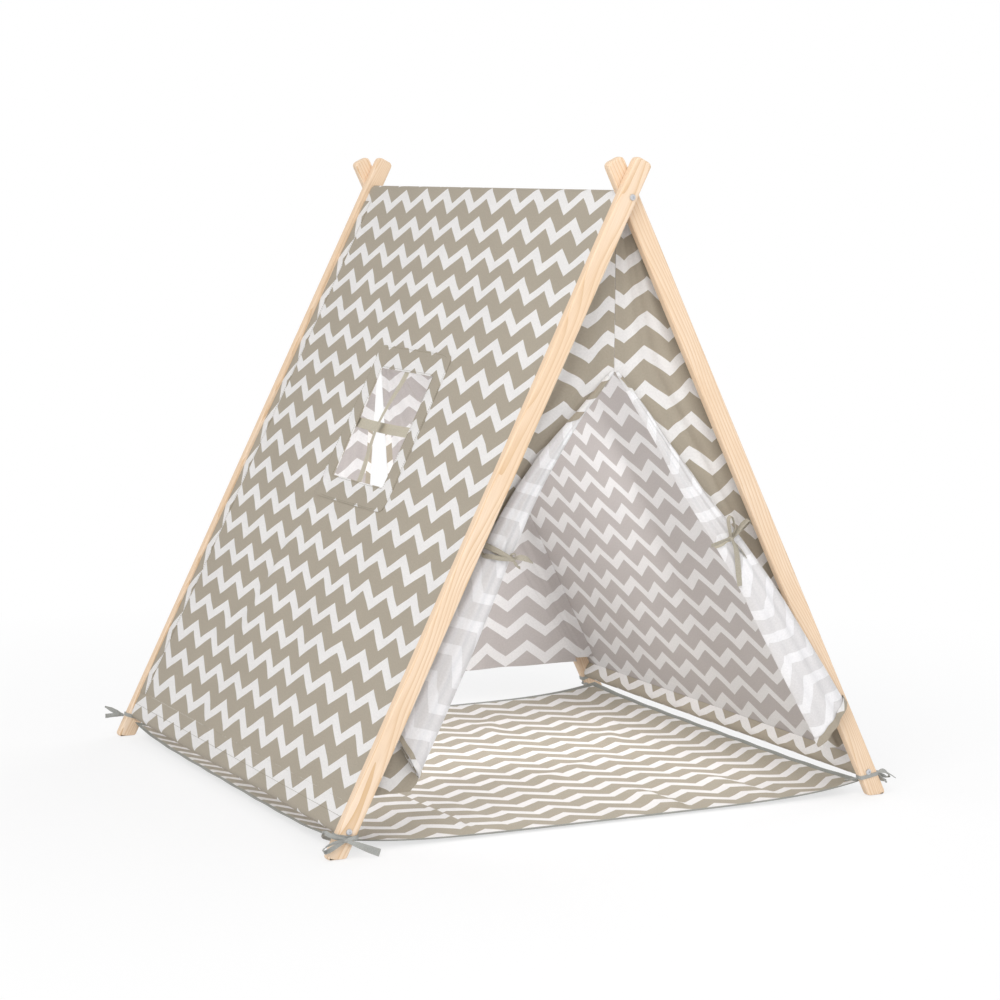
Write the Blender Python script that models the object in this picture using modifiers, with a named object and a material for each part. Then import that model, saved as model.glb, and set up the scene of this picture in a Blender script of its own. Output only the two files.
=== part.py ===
"""A-frame play tent for children: pine slats, dowels, bolts, a printed cotton cover and a floor mat.

Units are metres and +Z is up. The doorway faces -Y, the window is in the left roof (-X).
The origin lies on the floor below the middle of the ridge. The left frame stands still, and
the right frame turns about the ridge when the tent is folded flat.
"""
import math

import bmesh
import bpy
from mathutils import Matrix, Vector

# Frame: heights and spreads are those of the rod centres
RIDGE_HEIGHT = 1.160
BASE_HALF_SPREAD = 0.554
BASE_ROD_HEIGHT = 0.048
RIDGE_ROD_LENGTH = 1.106
ROD_DIAMETER = 0.020
SLAT_WIDTH = 0.037
SLAT_THICKNESS = 0.019
SLAT_EDGE_RADIUS = 0.0035
SLAT_TOP_REACH = 0.072
SLAT_TOP_CORNER = 0.009
SLAT_FOOT_CORNER = 0.006
RIDGE_BOLT_OFFSET = 0.0068

# Bolts and the threaded inserts in the rod ends
BOLT_DIAMETER = 0.006
BOLT_CLEARANCE = 0.0003
BOLT_HEAD_DIAMETER = 0.012
BOLT_HEAD_HEIGHT = 0.0034
BOLT_SOCKET_WIDTH = 0.004
BOLT_SOCKET_DEPTH = 0.0019
BOLT_TIP_CHAMFER = 0.0008
RIDGE_BOLT_GRIP = 0.034
BASE_BOLT_GRIP = 0.025
INSERT_DIAMETER = 0.009
INSERT_LENGTH = 0.020

# Clearances
GAP = 0.0003
CLOTH_END_GAP = 0.0005
SEAM_GAP = 0.0006
OVERRUN = 0.004

# Cover
CLOTH_THICKNESS = 0.001
SLEEVE_HEIGHT = 0.045
SLEEVE_HEM = 0.008
ROOF_NOTCH = 0.030
GABLE_SETBACK = 0.021
COVER_BOTTOM = 0.085
BAND_WIDTH = 0.032
BAND_THICKNESS = 0.0008

# Window in the left roof, measured along the ridge and down the slope
WINDOW_ALONG_RIDGE = -0.029
WINDOW_DOWN_SLOPE = 0.516
WINDOW_WIDTH = 0.240
WINDOW_HEIGHT = 0.237
FACING_MARGIN = 0.049
FACING_THICKNESS = 0.0008
TAPE_WIDTH = 0.024
TAPE_THICKNESS = 0.001
TAPE_LAP = 0.014

# Doorways: the slit starts at the apex, and the cloth folds back along a line to the foot.
# Drops are measured down from the ridge or the apex, and insets inward from the roof.
DOOR_APEX_DROP = 0.320
DOOR_FOOT_INSET = 0.048526
REAR_SLIT_TOP = 0.020
REAR_SLIT_MIDDLE = 0.022
REAR_SLIT_BOTTOM = 0.045
REAR_SLIT_MIDDLE_DROP = 0.320
REAR_FOLD_DEPTH = 0.009
REAR_FOLD_COUNT = 3
GABLE_FOLD_DEPTH = 0.004
GABLE_FOLD_COUNT = 2

# Front flaps, folded back into flat rolls and tied. The shares give, along a roll from the
# door's apex to its lower end, its width against the width at that end.
ROLL_END_DEPTH = 0.021
ROLL_TOP_WIDTH = 0.010
ROLL_FOLD_DEPTH = 0.0022
ROLL_FOLD_COUNT = 3
LEFT_ROLL_TIE_INSET = 0.088809
LEFT_ROLL_TIE_DROP = 0.320
LEFT_ROLL_END_INSET = 0.087416
LEFT_ROLL_END_HEIGHT = 0.1625
LEFT_ROLL_END_WIDTH = 0.085
LEFT_ROLL_BULGE = 0.022
LEFT_ROLL_END_SLANT = 0.65
LEFT_ROLL_WIDTH_SHARES = (
    (0, 0.08), (0.11, 0.17), (0.22, 0.42), (0.33, 0.58), (0.42, 0.69),
    (0.505, 0.72), (0.575, 0.82), (0.73, 0.94), (1, 1),
)
RIGHT_ROLL_TIE_INSET = 0.104336
RIGHT_ROLL_TIE_DROP = 0.305
RIGHT_ROLL_END_INSET = 0.051396
RIGHT_ROLL_END_HEIGHT = 0.1515
RIGHT_ROLL_END_WIDTH = 0.097
RIGHT_ROLL_END_SLANT = 0.38
RIGHT_ROLL_FORWARD = 0.036
RIGHT_ROLL_WIDTH_SHARES = (
    (0, 0.07), (0.10, 0.20), (0.21, 0.27), (0.30, 0.41), (0.37, 0.45), (0.44, 0.53),
    (0.49, 0.58), (0.56, 0.64), (0.67, 0.79), (0.80, 0.89), (0.92, 0.96), (1, 1),
)
ROLL_SEAT_SHARE = 0.12
ROLL_BACK_SHARE = 0.14
ROLL_TAPER_SHARE = 0.625
ROLL_FORWARD_START_SHARE = 0.30
ROLL_FORWARD_END_SHARE = 0.62

# Ties. Each ribbon of a bow has its kind, its angle above +X seen from the front (above
# the outward side at a foot), and a share of that kind's length.
TIE_WIDTH = 0.011
TIE_THICKNESS = 0.0014
TIE_GAP = 0.0006
KNOT_RADIUS = 0.006
BOW_LOOP_LENGTH = 0.034
BOW_LOOP_DEPTH = 0.010
BOW_LOOP_SEAT = 0.0022
BOW_TAIL_LENGTH = 0.100
RIBBON_LAYER = 0.0019
LEFT_FLAP_RIBBON_SHARES = (("loop", -12, 1.0), ("loop", 160, 0.75), ("tail", -58, 0.30), ("tail", -98, 0.26))
RIGHT_FLAP_RIBBON_SHARES = (("loop", 26, 1.0), ("loop", 122, 0.9), ("tail", -153, 0.45), ("tail", -76, 1.0))
FRONT_LEFT_FOOT_RIBBON_SHARES = (
    ("loop", -21, 1.75), ("loop", 196, 1.15), ("tail", -5, 0.34), ("tail", 208, 0.30)
)
FRONT_RIGHT_FOOT_RIBBON_SHARES = (("loop", -22, 0.95), ("loop", -46, 0.75), ("tail", -4, 0.33))
REAR_FOOT_RIBBON_SHARES = (("tail", 22, 0.48), ("tail", -3, 0.36))
FOOT_BAND_WIDTH = 0.008
FOOT_BAND_HEIGHT = 0.031
STRAP_LAP = 0.014

# Floor mat: it reaches past the base rods at its sides and stops short of the inner slats
MAT_SIDE_OVERHANG = 0.011
MAT_END_CLEARANCE = 0.002
MAT_THICKNESS = 0.0014
MAT_SIDE_LIFT = 0.015
MAT_END_LIFT = 0.003
MAT_CORNER_LIFT = 0.025
MAT_SLOPE_WIDTH = 0.140
MAT_CORNER_PULL = 0.006
MAT_SEGMENTS = 20
BINDING_WIDTH = 0.012
BINDING_THICKNESS = 0.0022

# Resolution of round and soft pieces
ROUND_SEGMENTS = 24
BOLT_SEGMENTS = 12
CORNER_SEGMENTS = 3

# Worked out from the sizes above
ROD_RADIUS = ROD_DIAMETER / 2
BOLT_RADIUS = BOLT_DIAMETER / 2
ROD_LINE_LENGTH = math.hypot(BASE_HALF_SPREAD, RIDGE_HEIGHT - BASE_ROD_HEIGHT)
ROD_LINE_LEAN = math.atan2(BASE_HALF_SPREAD, RIDGE_HEIGHT - BASE_ROD_HEIGHT)
SLAT_LEAN = ROD_LINE_LEAN - math.asin(RIDGE_BOLT_OFFSET / ROD_LINE_LENGTH)
INNER_FACE = RIDGE_ROD_LENGTH / 2
SLAT_PITCH = SLAT_THICKNESS + GAP
INNER_SLAT_CENTRE = INNER_FACE + GAP + SLAT_THICKNESS / 2
OUTER_SLAT_CENTRE = INNER_SLAT_CENTRE + SLAT_PITCH
OUTER_FACE = OUTER_SLAT_CENTRE - SLAT_THICKNESS / 2 - GAP
RIDGE_SLEEVE_RADIUS = ROD_RADIUS + GAP
ROOF_INNER_OFFSET = RIDGE_SLEEVE_RADIUS + CLOTH_THICKNESS + GAP
ROOF_OUTER_OFFSET = ROOF_INNER_OFFSET + CLOTH_THICKNESS
ROOF_LENGTH = ROD_LINE_LENGTH - SLEEVE_HEIGHT - GAP
GABLE_PLANE = INNER_FACE - GABLE_SETBACK
MAT_HALF_WIDTH = BASE_HALF_SPREAD + MAT_SIDE_OVERHANG
MAT_HALF_DEPTH = INNER_FACE - MAT_END_CLEARANCE
DOOR_APEX_HEIGHT = RIDGE_HEIGHT - DOOR_APEX_DROP
REAR_SLIT_MIDDLE_HEIGHT = DOOR_APEX_HEIGHT - REAR_SLIT_MIDDLE_DROP
LEFT = -1
RIGHT = 1
FRONT = -1
REAR = 1

COLOURS = {
    "pine": ((0.86, 0.68, 0.45, 1.0), 0.55, 0.0),
    "steel": ((0.72, 0.73, 0.75, 1.0), 0.30, 1.0),
    "brass": ((0.70, 0.56, 0.30, 1.0), 0.35, 1.0),
    "printed_cotton": ((0.45, 0.41, 0.33, 1.0), 0.90, 0.0),
    "white_cotton": ((0.84, 0.84, 0.85, 1.0), 0.92, 0.0),
    "grey_tape": ((0.27, 0.28, 0.26, 1.0), 0.85, 0.0),
    "taupe_tape": ((0.37, 0.32, 0.23, 1.0), 0.85, 0.0),
}


def new_collection(name):
    """Makes a collection in the scene and returns it."""
    collection = bpy.data.collections.new(name)
    bpy.context.scene.collection.children.link(collection)
    return collection


def clear_scene():
    """Removes every object that the scene starts with."""
    for item in list(bpy.data.objects):
        bpy.data.objects.remove(item, do_unlink=True)


clear_scene()
PARTS = new_collection("kids_teepee")
CUTTERS = new_collection("cutters")
PIVOTS = {}


def material(node, kind):
    """Makes the Principled material of one sub-part."""
    colour, roughness, metallic = COLOURS[kind]
    made = bpy.data.materials.new(node + "_" + kind)
    made.use_nodes = True
    shader = made.node_tree.nodes["Principled BSDF"]
    shader.inputs["Base Color"].default_value = colour
    shader.inputs["Roughness"].default_value = roughness
    shader.inputs["Metallic"].default_value = metallic
    return made


def pivot(name, location, parent=None):
    """An empty on a joint's axis, which carries the pieces that turn with it."""
    empty = bpy.data.objects.new(name, None)
    PARTS.objects.link(empty)
    empty.location = location
    if parent:
        empty.parent = PIVOTS[parent][0]
        empty.matrix_parent_inverse = Matrix.Translation(-PIVOTS[parent][1])
    PIVOTS[name] = (empty, Vector(location))


def place(item, kind, carrier, smooth_angle=0.6):
    """Finishes a sub-part: its collection, material, shading and carrier."""
    for collection in list(item.users_collection):
        collection.objects.unlink(item)
    PARTS.objects.link(item)
    item.data.materials.clear()
    item.data.materials.append(material(item.name, kind))
    if item.type == "MESH":
        item.data.shade_smooth()
        item.data.set_sharp_from_angle(angle=smooth_angle)
    empty, location = PIVOTS[carrier]
    item.parent = empty
    item.matrix_parent_inverse = Matrix.Translation(-location)
    return item


def as_cutter(item):
    """Puts a guide body among the cutters, hidden from renders."""
    for collection in list(item.users_collection):
        collection.objects.unlink(item)
    CUTTERS.objects.link(item)
    item.hide_render = True
    item.display_type = "WIRE"
    return item


def boolean(item, other, operation):
    """Adds an exact Boolean of another body to an object."""
    modifier = item.modifiers.new(operation.lower(), "BOOLEAN")
    modifier.operation = operation
    modifier.solver = "EXACT"
    modifier.object = as_cutter(other)


def solid_mesh(name, mesh_builder):
    """Makes an object from a function that fills a bmesh."""
    data = bpy.data.meshes.new(name)
    work = bmesh.new()
    mesh_builder(work)
    work.to_mesh(data)
    work.free()
    item = bpy.data.objects.new(name, data)
    PARTS.objects.link(item)
    return item


def mesh_from_curve(curve_object):
    """Turns a curve into a welded mesh object in the same place."""
    bpy.context.view_layer.update()
    evaluated = curve_object.evaluated_get(bpy.context.evaluated_depsgraph_get())
    data = bpy.data.meshes.new_from_object(evaluated)
    name = curve_object.name
    matrix = curve_object.matrix_world.copy()
    bpy.data.objects.remove(curve_object, do_unlink=True)
    work = bmesh.new()
    work.from_mesh(data)
    bmesh.ops.remove_doubles(work, verts=work.verts, dist=GAP / 10)
    work.to_mesh(data)
    work.free()
    item = bpy.data.objects.new(name, data)
    item.name = name
    PARTS.objects.link(item)
    item.matrix_world = matrix
    return item


def flat_piece(name, outlines, thickness, matrix):
    """A flat piece: closed outlines in its own XY plane, thickened evenly; inner outlines are holes."""
    curve = bpy.data.curves.new(name, "CURVE")
    curve.dimensions = "2D"
    curve.fill_mode = "BOTH"
    curve.extrude = thickness / 2
    for outline in outlines:
        spline = curve.splines.new("POLY")
        spline.points.add(len(outline) - 1)
        for point, (x, y) in zip(spline.points, outline):
            point.co = (x, y, 0, 1)
        spline.use_cyclic_u = True
    item = bpy.data.objects.new(name, curve)
    PARTS.objects.link(item)
    item.matrix_world = matrix
    return mesh_from_curve(item)


def arc(centre, radius, start, end, steps):
    """Points on an arc, both ends included."""
    angles = [start + (end - start) * k / steps for k in range(steps + 1)]
    return [(centre[0] + radius * math.cos(a), centre[1] + radius * math.sin(a)) for a in angles]


def circle(radius, segments=ROUND_SEGMENTS):
    """Points round a full circle about the origin."""
    return arc((0, 0), radius, 0, 2 * math.pi * (1 - 1 / segments), segments - 1)


def rounded(corners):
    """An outline whose corners (x, y, radius) are replaced by arcs."""
    outline = []
    for k, (x, y, radius) in enumerate(corners):
        corner = Vector((x, y))
        before = (Vector(corners[k - 1][:2]) - corner).normalized()
        after = (Vector(corners[(k + 1) % len(corners)][:2]) - corner).normalized()
        if not radius:
            outline.append((x, y))
            continue
        half = before.angle(after) / 2
        centre = corner + (before + after).normalized() * (radius / math.sin(half))
        first = corner + before * (radius / math.tan(half)) - centre
        last = corner + after * (radius / math.tan(half)) - centre
        start = math.atan2(first.y, first.x)
        sweep = (math.atan2(last.y, last.x) - start + math.pi) % (2 * math.pi) - math.pi
        outline += arc(centre, radius, start, start + sweep, CORNER_SEGMENTS)
    return outline


def rectangle(low_x, low_y, high_x, high_y, radius=0):
    """The outline of a rectangle, with rounded corners if it has a radius."""
    corners = [(low_x, low_y), (high_x, low_y), (high_x, high_y), (low_x, high_y)]
    return rounded([(x, y, radius) for x, y in corners])


def axes_matrix(x_axis, y_axis, origin):
    """A placement from two perpendicular directions and an origin."""
    x_axis = Vector(x_axis).normalized()
    y_axis = Vector(y_axis).normalized()
    z_axis = x_axis.cross(y_axis)
    matrix = Matrix((x_axis, y_axis, z_axis)).transposed().to_4x4()
    matrix.translation = origin
    return matrix


def upright(origin=(0, 0, 0)):
    """A placement whose XY plane stands upright, seen from the front."""
    return axes_matrix((1, 0, 0), (0, 0, 1), origin)


def roof_point(side, along, out, y=0):
    """The point at a distance down the rod line from the ridge, and outward from that line."""
    x = side * (along * math.sin(ROD_LINE_LEAN) + out * math.cos(ROD_LINE_LEAN))
    z = RIDGE_HEIGHT - along * math.cos(ROD_LINE_LEAN) + out * math.sin(ROD_LINE_LEAN)
    return Vector((x, y, z))


def roof_outward(side):
    """The outward direction of one roof slope."""
    return Vector((side * math.cos(ROD_LINE_LEAN), 0, math.sin(ROD_LINE_LEAN)))


def roof_upward(side):
    """The direction up one roof slope."""
    return Vector((-side * math.sin(ROD_LINE_LEAN), 0, math.cos(ROD_LINE_LEAN)))


def roof_half_width(height):
    """Half the width between the roof's inner faces at a height."""
    rise = RIDGE_HEIGHT - height
    return rise * math.tan(ROD_LINE_LEAN) + ROOF_INNER_OFFSET / math.cos(ROD_LINE_LEAN)


def cylinder(name, radius, length, centre, segments=ROUND_SEGMENTS):
    """A cylinder along Y about a centre."""
    turn = Matrix.Translation(centre) @ Matrix.Rotation(math.pi / 2, 4, "X")

    def build(work):
        bmesh.ops.create_cone(
            work, cap_ends=True, segments=segments, radius1=radius, radius2=radius, depth=length
        )

    item = solid_mesh(name, build)
    item.matrix_world = turn
    return item


def cloth(name, columns, rows, position, thickness, offset=0, closed=False):
    """A sheet on a grid: position(s, t) gives each point, s and t running from 0 to 1."""

    def build(work):
        grid = bmesh.ops.create_grid(work, x_segments=columns, y_segments=rows, size=1)
        for vertex in grid["verts"]:
            vertex.co = position((vertex.co.x + 1) / 2, (vertex.co.y + 1) / 2)
        if closed:
            bmesh.ops.remove_doubles(work, verts=work.verts, dist=GAP / 10)

    item = solid_mesh(name, build)
    solidify = item.modifiers.new("thickness", "SOLIDIFY")
    solidify.thickness = thickness
    solidify.offset = offset
    return item


def mix(a, b, share):
    """The value at a share of the way from a to b."""
    return a + (b - a) * share


def read_shares(table, share):
    """The value between the entries of a table of shares."""
    for (start, low), (stop, high) in zip(table, table[1:]):
        if share <= stop:
            return mix(low, high, (share - start) / (stop - start))
    return table[-1][1]


def slat_foot(across):
    """How far below the ridge bolt the floor cuts the slat, at a distance across it."""
    return -(RIDGE_HEIGHT + across * math.sin(SLAT_LEAN)) / math.cos(SLAT_LEAN)


def slat_across(side, across):
    """A distance outward from the ridge bolt, in the slat's own X."""
    return side * across


def slat_matrix(side, y):
    """The placement of a slat's own XY plane: X across it, Y up along it."""
    lean = -side * SLAT_LEAN
    x_axis = (math.cos(lean), 0, -math.sin(lean))
    y_axis = (math.sin(lean), 0, math.cos(lean))
    return axes_matrix(x_axis, y_axis, (0, y, RIDGE_HEIGHT))


def slat(name, side, y, carrier):
    """A pine slat: rounded long edges, rounded top end, foot cut flat to the floor, two bolt holes."""
    inner = RIDGE_BOLT_OFFSET - SLAT_WIDTH / 2
    outer = RIDGE_BOLT_OFFSET + SLAT_WIDTH / 2
    corners = [
        (slat_across(side, inner), slat_foot(inner), SLAT_FOOT_CORNER),
        (slat_across(side, outer), slat_foot(outer), SLAT_FOOT_CORNER),
        (slat_across(side, outer), SLAT_TOP_REACH, SLAT_TOP_CORNER),
        (slat_across(side, inner), SLAT_TOP_REACH, SLAT_TOP_CORNER),
    ]
    item = flat_piece(name, [rounded(corners)], SLAT_THICKNESS, slat_matrix(side, y))
    bevel = item.modifiers.new("edges", "BEVEL")
    bevel.width = SLAT_EDGE_RADIUS
    bevel.segments = 2
    bevel.limit_method = "ANGLE"
    bevel.angle_limit = math.radians(60)
    bevel.use_clamp_overlap = False
    hole_length = SLAT_THICKNESS + 2 * OVERRUN
    base = roof_point(side, ROD_LINE_LENGTH, 0, y)
    for place_name, centre in (("ridge", (0, y, RIDGE_HEIGHT)), ("base", base)):
        hole = cylinder(
            name + "_" + place_name + "_hole", BOLT_RADIUS + BOLT_CLEARANCE, hole_length, centre, BOLT_SEGMENTS
        )
        boolean(item, hole, "DIFFERENCE")
    return place(item, "pine", carrier)


def rod(name, x, z, start, end, grips, carrier):
    """A round dowel along Y with a pocket at each end for its insert and the bolt's tip."""
    item = cylinder(name, ROD_RADIUS, end - start, (x, (start + end) / 2, z))
    for end_name, y, sign, grip in (("front", start, -1, grips[0]), ("rear", end, 1, grips[1])):
        pocket_depth = INSERT_LENGTH + GAP
        relief_depth = grip + GAP
        pocket = cylinder(
            name + "_" + end_name + "_pocket",
            INSERT_DIAMETER / 2 + GAP,
            pocket_depth + OVERRUN,
            (x, y - sign * (pocket_depth - OVERRUN) / 2, z),
            BOLT_SEGMENTS,
        )
        relief = cylinder(
            name + "_" + end_name + "_relief",
            BOLT_RADIUS + BOLT_CLEARANCE,
            relief_depth + OVERRUN,
            (x, y - sign * (relief_depth - OVERRUN) / 2, z),
            BOLT_SEGMENTS,
        )
        boolean(item, pocket, "DIFFERENCE")
        boolean(item, relief, "DIFFERENCE")
    return place(item, "pine", carrier)


def rod_insert(name, x, z, y_end, sign, carrier):
    """A threaded barrel flush with a rod's end."""
    outlines = [circle(INSERT_DIAMETER / 2, BOLT_SEGMENTS), circle(BOLT_RADIUS + BOLT_CLEARANCE, BOLT_SEGMENTS)]
    centre = (x, y_end - sign * INSERT_LENGTH / 2, z)
    item = flat_piece(name, outlines, INSERT_LENGTH, upright(centre))
    return place(item, "brass", carrier)


def bolt(name, x, z, y_seat, sign, reach, carrier):
    """A domed furniture bolt with a hexagon socket; its head sits outside, its tip in a rod."""
    head = BOLT_HEAD_DIAMETER / 2
    rim = BOLT_HEAD_HEIGHT / 3
    dome = [
        (head * math.sin(a), rim + (BOLT_HEAD_HEIGHT - rim) * math.cos(a))
        for a in [math.pi / 2 * k / 4 for k in range(5)]
    ]
    shank = [
        (head, 0),
        (BOLT_RADIUS, 0),
        (BOLT_RADIUS, BOLT_TIP_CHAMFER - reach),
        (BOLT_RADIUS - BOLT_TIP_CHAMFER, -reach),
        (0, -reach),
    ]

    def build(work):
        points = [work.verts.new((x, 0, z)) for x, z in dome + shank]
        for first, second in zip(points, points[1:]):
            work.edges.new((first, second))

    item = solid_mesh(name, build)
    screw = item.modifiers.new("turned", "SCREW")
    screw.steps = BOLT_SEGMENTS
    screw.render_steps = BOLT_SEGMENTS
    screw.use_merge_vertices = True
    screw.merge_threshold = GAP / 10
    item.matrix_world = Matrix.Translation((x, y_seat, z)) @ Matrix.Rotation(-sign * math.pi / 2, 4, "X")
    socket_length = BOLT_SOCKET_DEPTH + OVERRUN
    socket_y = y_seat + sign * (BOLT_HEAD_HEIGHT - BOLT_SOCKET_DEPTH + socket_length / 2)
    socket = cylinder(name + "_socket", BOLT_SOCKET_WIDTH / math.sqrt(3), socket_length, (x, socket_y, z), 6)
    boolean(item, socket, "DIFFERENCE")
    return place(item, "steel", carrier)


def build_frame():
    """Slats, rods, bolts and inserts; the two frames are alike when turned half way round."""
    slat("slat_front_left", LEFT, -OUTER_SLAT_CENTRE, "frame_left")
    slat("slat_rear_left", LEFT, INNER_SLAT_CENTRE, "frame_left")
    slat("slat_front_right", RIGHT, -INNER_SLAT_CENTRE, "frame_right")
    slat("slat_rear_right", RIGHT, OUTER_SLAT_CENTRE, "frame_right")
    bolt_seat_outer = OUTER_SLAT_CENTRE + SLAT_THICKNESS / 2 + GAP
    bolt_seat_inner = INNER_SLAT_CENTRE + SLAT_THICKNESS / 2 + GAP
    rod("ridge_rod", 0, RIDGE_HEIGHT, -INNER_FACE, INNER_FACE, (RIDGE_BOLT_GRIP,) * 2, "frame_left")
    for end, sign in (("front", FRONT), ("rear", REAR)):
        rod_insert("ridge_insert_" + end, 0, RIDGE_HEIGHT, sign * INNER_FACE, sign, "frame_left")
        reach = bolt_seat_outer - INNER_FACE + RIDGE_BOLT_GRIP
        bolt("ridge_bolt_" + end, 0, RIDGE_HEIGHT, sign * bolt_seat_outer, sign, reach, "frame_left")
    for name, side in (("left", LEFT), ("right", RIGHT)):
        carrier = "frame_" + name
        x = side * BASE_HALF_SPREAD
        ends = {FRONT: OUTER_FACE if side == LEFT else INNER_FACE, REAR: INNER_FACE if side == LEFT else OUTER_FACE}
        rod(
            "base_rod_" + name, x, BASE_ROD_HEIGHT, -ends[FRONT], ends[REAR], (BASE_BOLT_GRIP,) * 2, carrier
        )
        for end, sign in (("front", FRONT), ("rear", REAR)):
            y_end = ends[sign]
            seat = bolt_seat_outer if y_end == OUTER_FACE else bolt_seat_inner
            label = name + "_" + end
            rod_insert("base_insert_" + label, x, BASE_ROD_HEIGHT, sign * y_end, sign, carrier)
            reach = seat - y_end + BASE_BOLT_GRIP
            bolt("base_bolt_" + label, x, BASE_ROD_HEIGHT, sign * seat, sign, reach, carrier)


def roof_matrix(side, out):
    """The placement of a roof slope's plane: X toward the rear, Y up the slope, from the ridge line."""
    return axes_matrix((0, 1, 0), roof_upward(side), roof_point(side, 0, out))


def roof_panel(name, side, carrier):
    """A roof slope, reaching to the outer slat at one end and cut back there at the ridge."""
    turn = -side
    inner = INNER_FACE - CLOTH_END_GAP
    outer = OUTER_FACE - CLOTH_END_GAP
    outline = [
        (-outer, -ROOF_LENGTH),
        (inner, -ROOF_LENGTH),
        (inner, 0),
        (-inner, 0),
        (-inner, -ROOF_NOTCH),
        (-outer, -ROOF_NOTCH),
    ]
    outlines = [[(turn * x, y) for x, y in outline]]
    if side == LEFT:
        outlines.append(window_outline(0))
    matrix = roof_matrix(side, ROOF_INNER_OFFSET + CLOTH_THICKNESS / 2)
    item = flat_piece(name, outlines, CLOTH_THICKNESS, matrix)
    return place(item, "printed_cotton", carrier)


def window_outline(margin):
    """The window's outline on the left slope, widened by a margin."""
    half_width = WINDOW_WIDTH / 2 + margin
    half_height = WINDOW_HEIGHT / 2 + margin
    return rectangle(
        WINDOW_ALONG_RIDGE - half_width,
        -WINDOW_DOWN_SLOPE - half_height,
        WINDOW_ALONG_RIDGE + half_width,
        -WINDOW_DOWN_SLOPE + half_height,
    )


def build_window():
    """The window's facing on the outside and two crossed tapes on the inside."""
    facing_offset = ROOF_OUTER_OFFSET + GAP + FACING_THICKNESS / 2
    outlines = [window_outline(FACING_MARGIN), window_outline(0)]
    facing = flat_piece("window_facing", outlines, FACING_THICKNESS, roof_matrix(LEFT, facing_offset))
    place(facing, "printed_cotton", "frame_left")
    first = ROOF_INNER_OFFSET - GAP - TAPE_THICKNESS / 2
    second = first - TAPE_THICKNESS - GAP
    half_tape = TAPE_WIDTH / 2
    upright_reach = WINDOW_HEIGHT / 2 + TAPE_LAP
    cross_reach = WINDOW_WIDTH / 2 + TAPE_LAP
    upright_tape = rectangle(
        WINDOW_ALONG_RIDGE - half_tape,
        -WINDOW_DOWN_SLOPE - upright_reach,
        WINDOW_ALONG_RIDGE + half_tape,
        -WINDOW_DOWN_SLOPE + upright_reach,
    )
    cross_tape = rectangle(
        WINDOW_ALONG_RIDGE - cross_reach,
        -WINDOW_DOWN_SLOPE - half_tape,
        WINDOW_ALONG_RIDGE + cross_reach,
        -WINDOW_DOWN_SLOPE + half_tape,
    )
    tape = flat_piece("window_tape_upright", [upright_tape], TAPE_THICKNESS, roof_matrix(LEFT, first))
    place(tape, "taupe_tape", "frame_left")
    tape = flat_piece("window_tape_across", [cross_tape], TAPE_THICKNESS, roof_matrix(LEFT, second))
    place(tape, "taupe_tape", "frame_left")


def edge_band(name, side, carrier):
    """The band sewn over the rear edge of a roof slope."""
    offset = ROOF_OUTER_OFFSET + GAP + BAND_THICKNESS / 2
    end = (INNER_FACE if side == LEFT else OUTER_FACE) - CLOTH_END_GAP
    top = -ROOF_NOTCH - GAP
    outline = rectangle(end - BAND_WIDTH, -ROOF_LENGTH, end, top)
    item = flat_piece(name, [outline], BAND_THICKNESS, roof_matrix(side, offset))
    return place(item, "printed_cotton", carrier)


def teardrop(radius, apexes):
    """An outline round a circle and its apex points, which run from the outward side inward."""
    x, y = apexes[-1]
    tangent = math.atan2(y, x) + math.acos(radius / math.hypot(x, y))
    return apexes + arc((0, 0), radius, tangent, 2 * math.pi, ROUND_SEGMENTS)


def base_sleeve(name, side, carrier):
    """The hem along a roof slope's foot, turned round the base rod and sewn to itself above it."""
    outer_radius = ROOF_OUTER_OFFSET
    inner_radius = outer_radius - CLOTH_THICKNESS
    skin = teardrop(outer_radius, [(outer_radius, SLEEVE_HEIGHT), (outer_radius - 2 * CLOTH_THICKNESS, SLEEVE_HEIGHT)])
    hollow = teardrop(inner_radius, [(inner_radius, SLEEVE_HEIGHT - SLEEVE_HEM)])
    front = OUTER_FACE if side == LEFT else INNER_FACE
    rear = INNER_FACE if side == LEFT else OUTER_FACE
    length = front + rear - 2 * CLOTH_END_GAP
    centre = roof_point(side, ROD_LINE_LENGTH, 0, (rear - front) / 2)
    matrix = axes_matrix(roof_outward(side), roof_upward(side), centre)
    item = flat_piece(name, [skin, hollow], length, matrix)
    return place(item, "printed_cotton", carrier)


def ridge_sleeve():
    """The tunnel at the ridge through which the ridge rod passes."""
    outlines = [circle(RIDGE_SLEEVE_RADIUS + CLOTH_THICKNESS), circle(RIDGE_SLEEVE_RADIUS)]
    length = RIDGE_ROD_LENGTH - 2 * CLOTH_END_GAP
    item = flat_piece("ridge_sleeve", outlines, length, upright((0, 0, RIDGE_HEIGHT)))
    return place(item, "printed_cotton", "frame_left")


def door_foot():
    """Half the doorway's width at the bottom of the cover."""
    return roof_half_width(COVER_BOTTOM) - DOOR_FOOT_INSET


def rear_fold(height):
    """Half the rear doorway's width at a height: its edge is straight."""
    return door_foot() * (DOOR_APEX_HEIGHT - height) / (DOOR_APEX_HEIGHT - COVER_BOTTOM)


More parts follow.
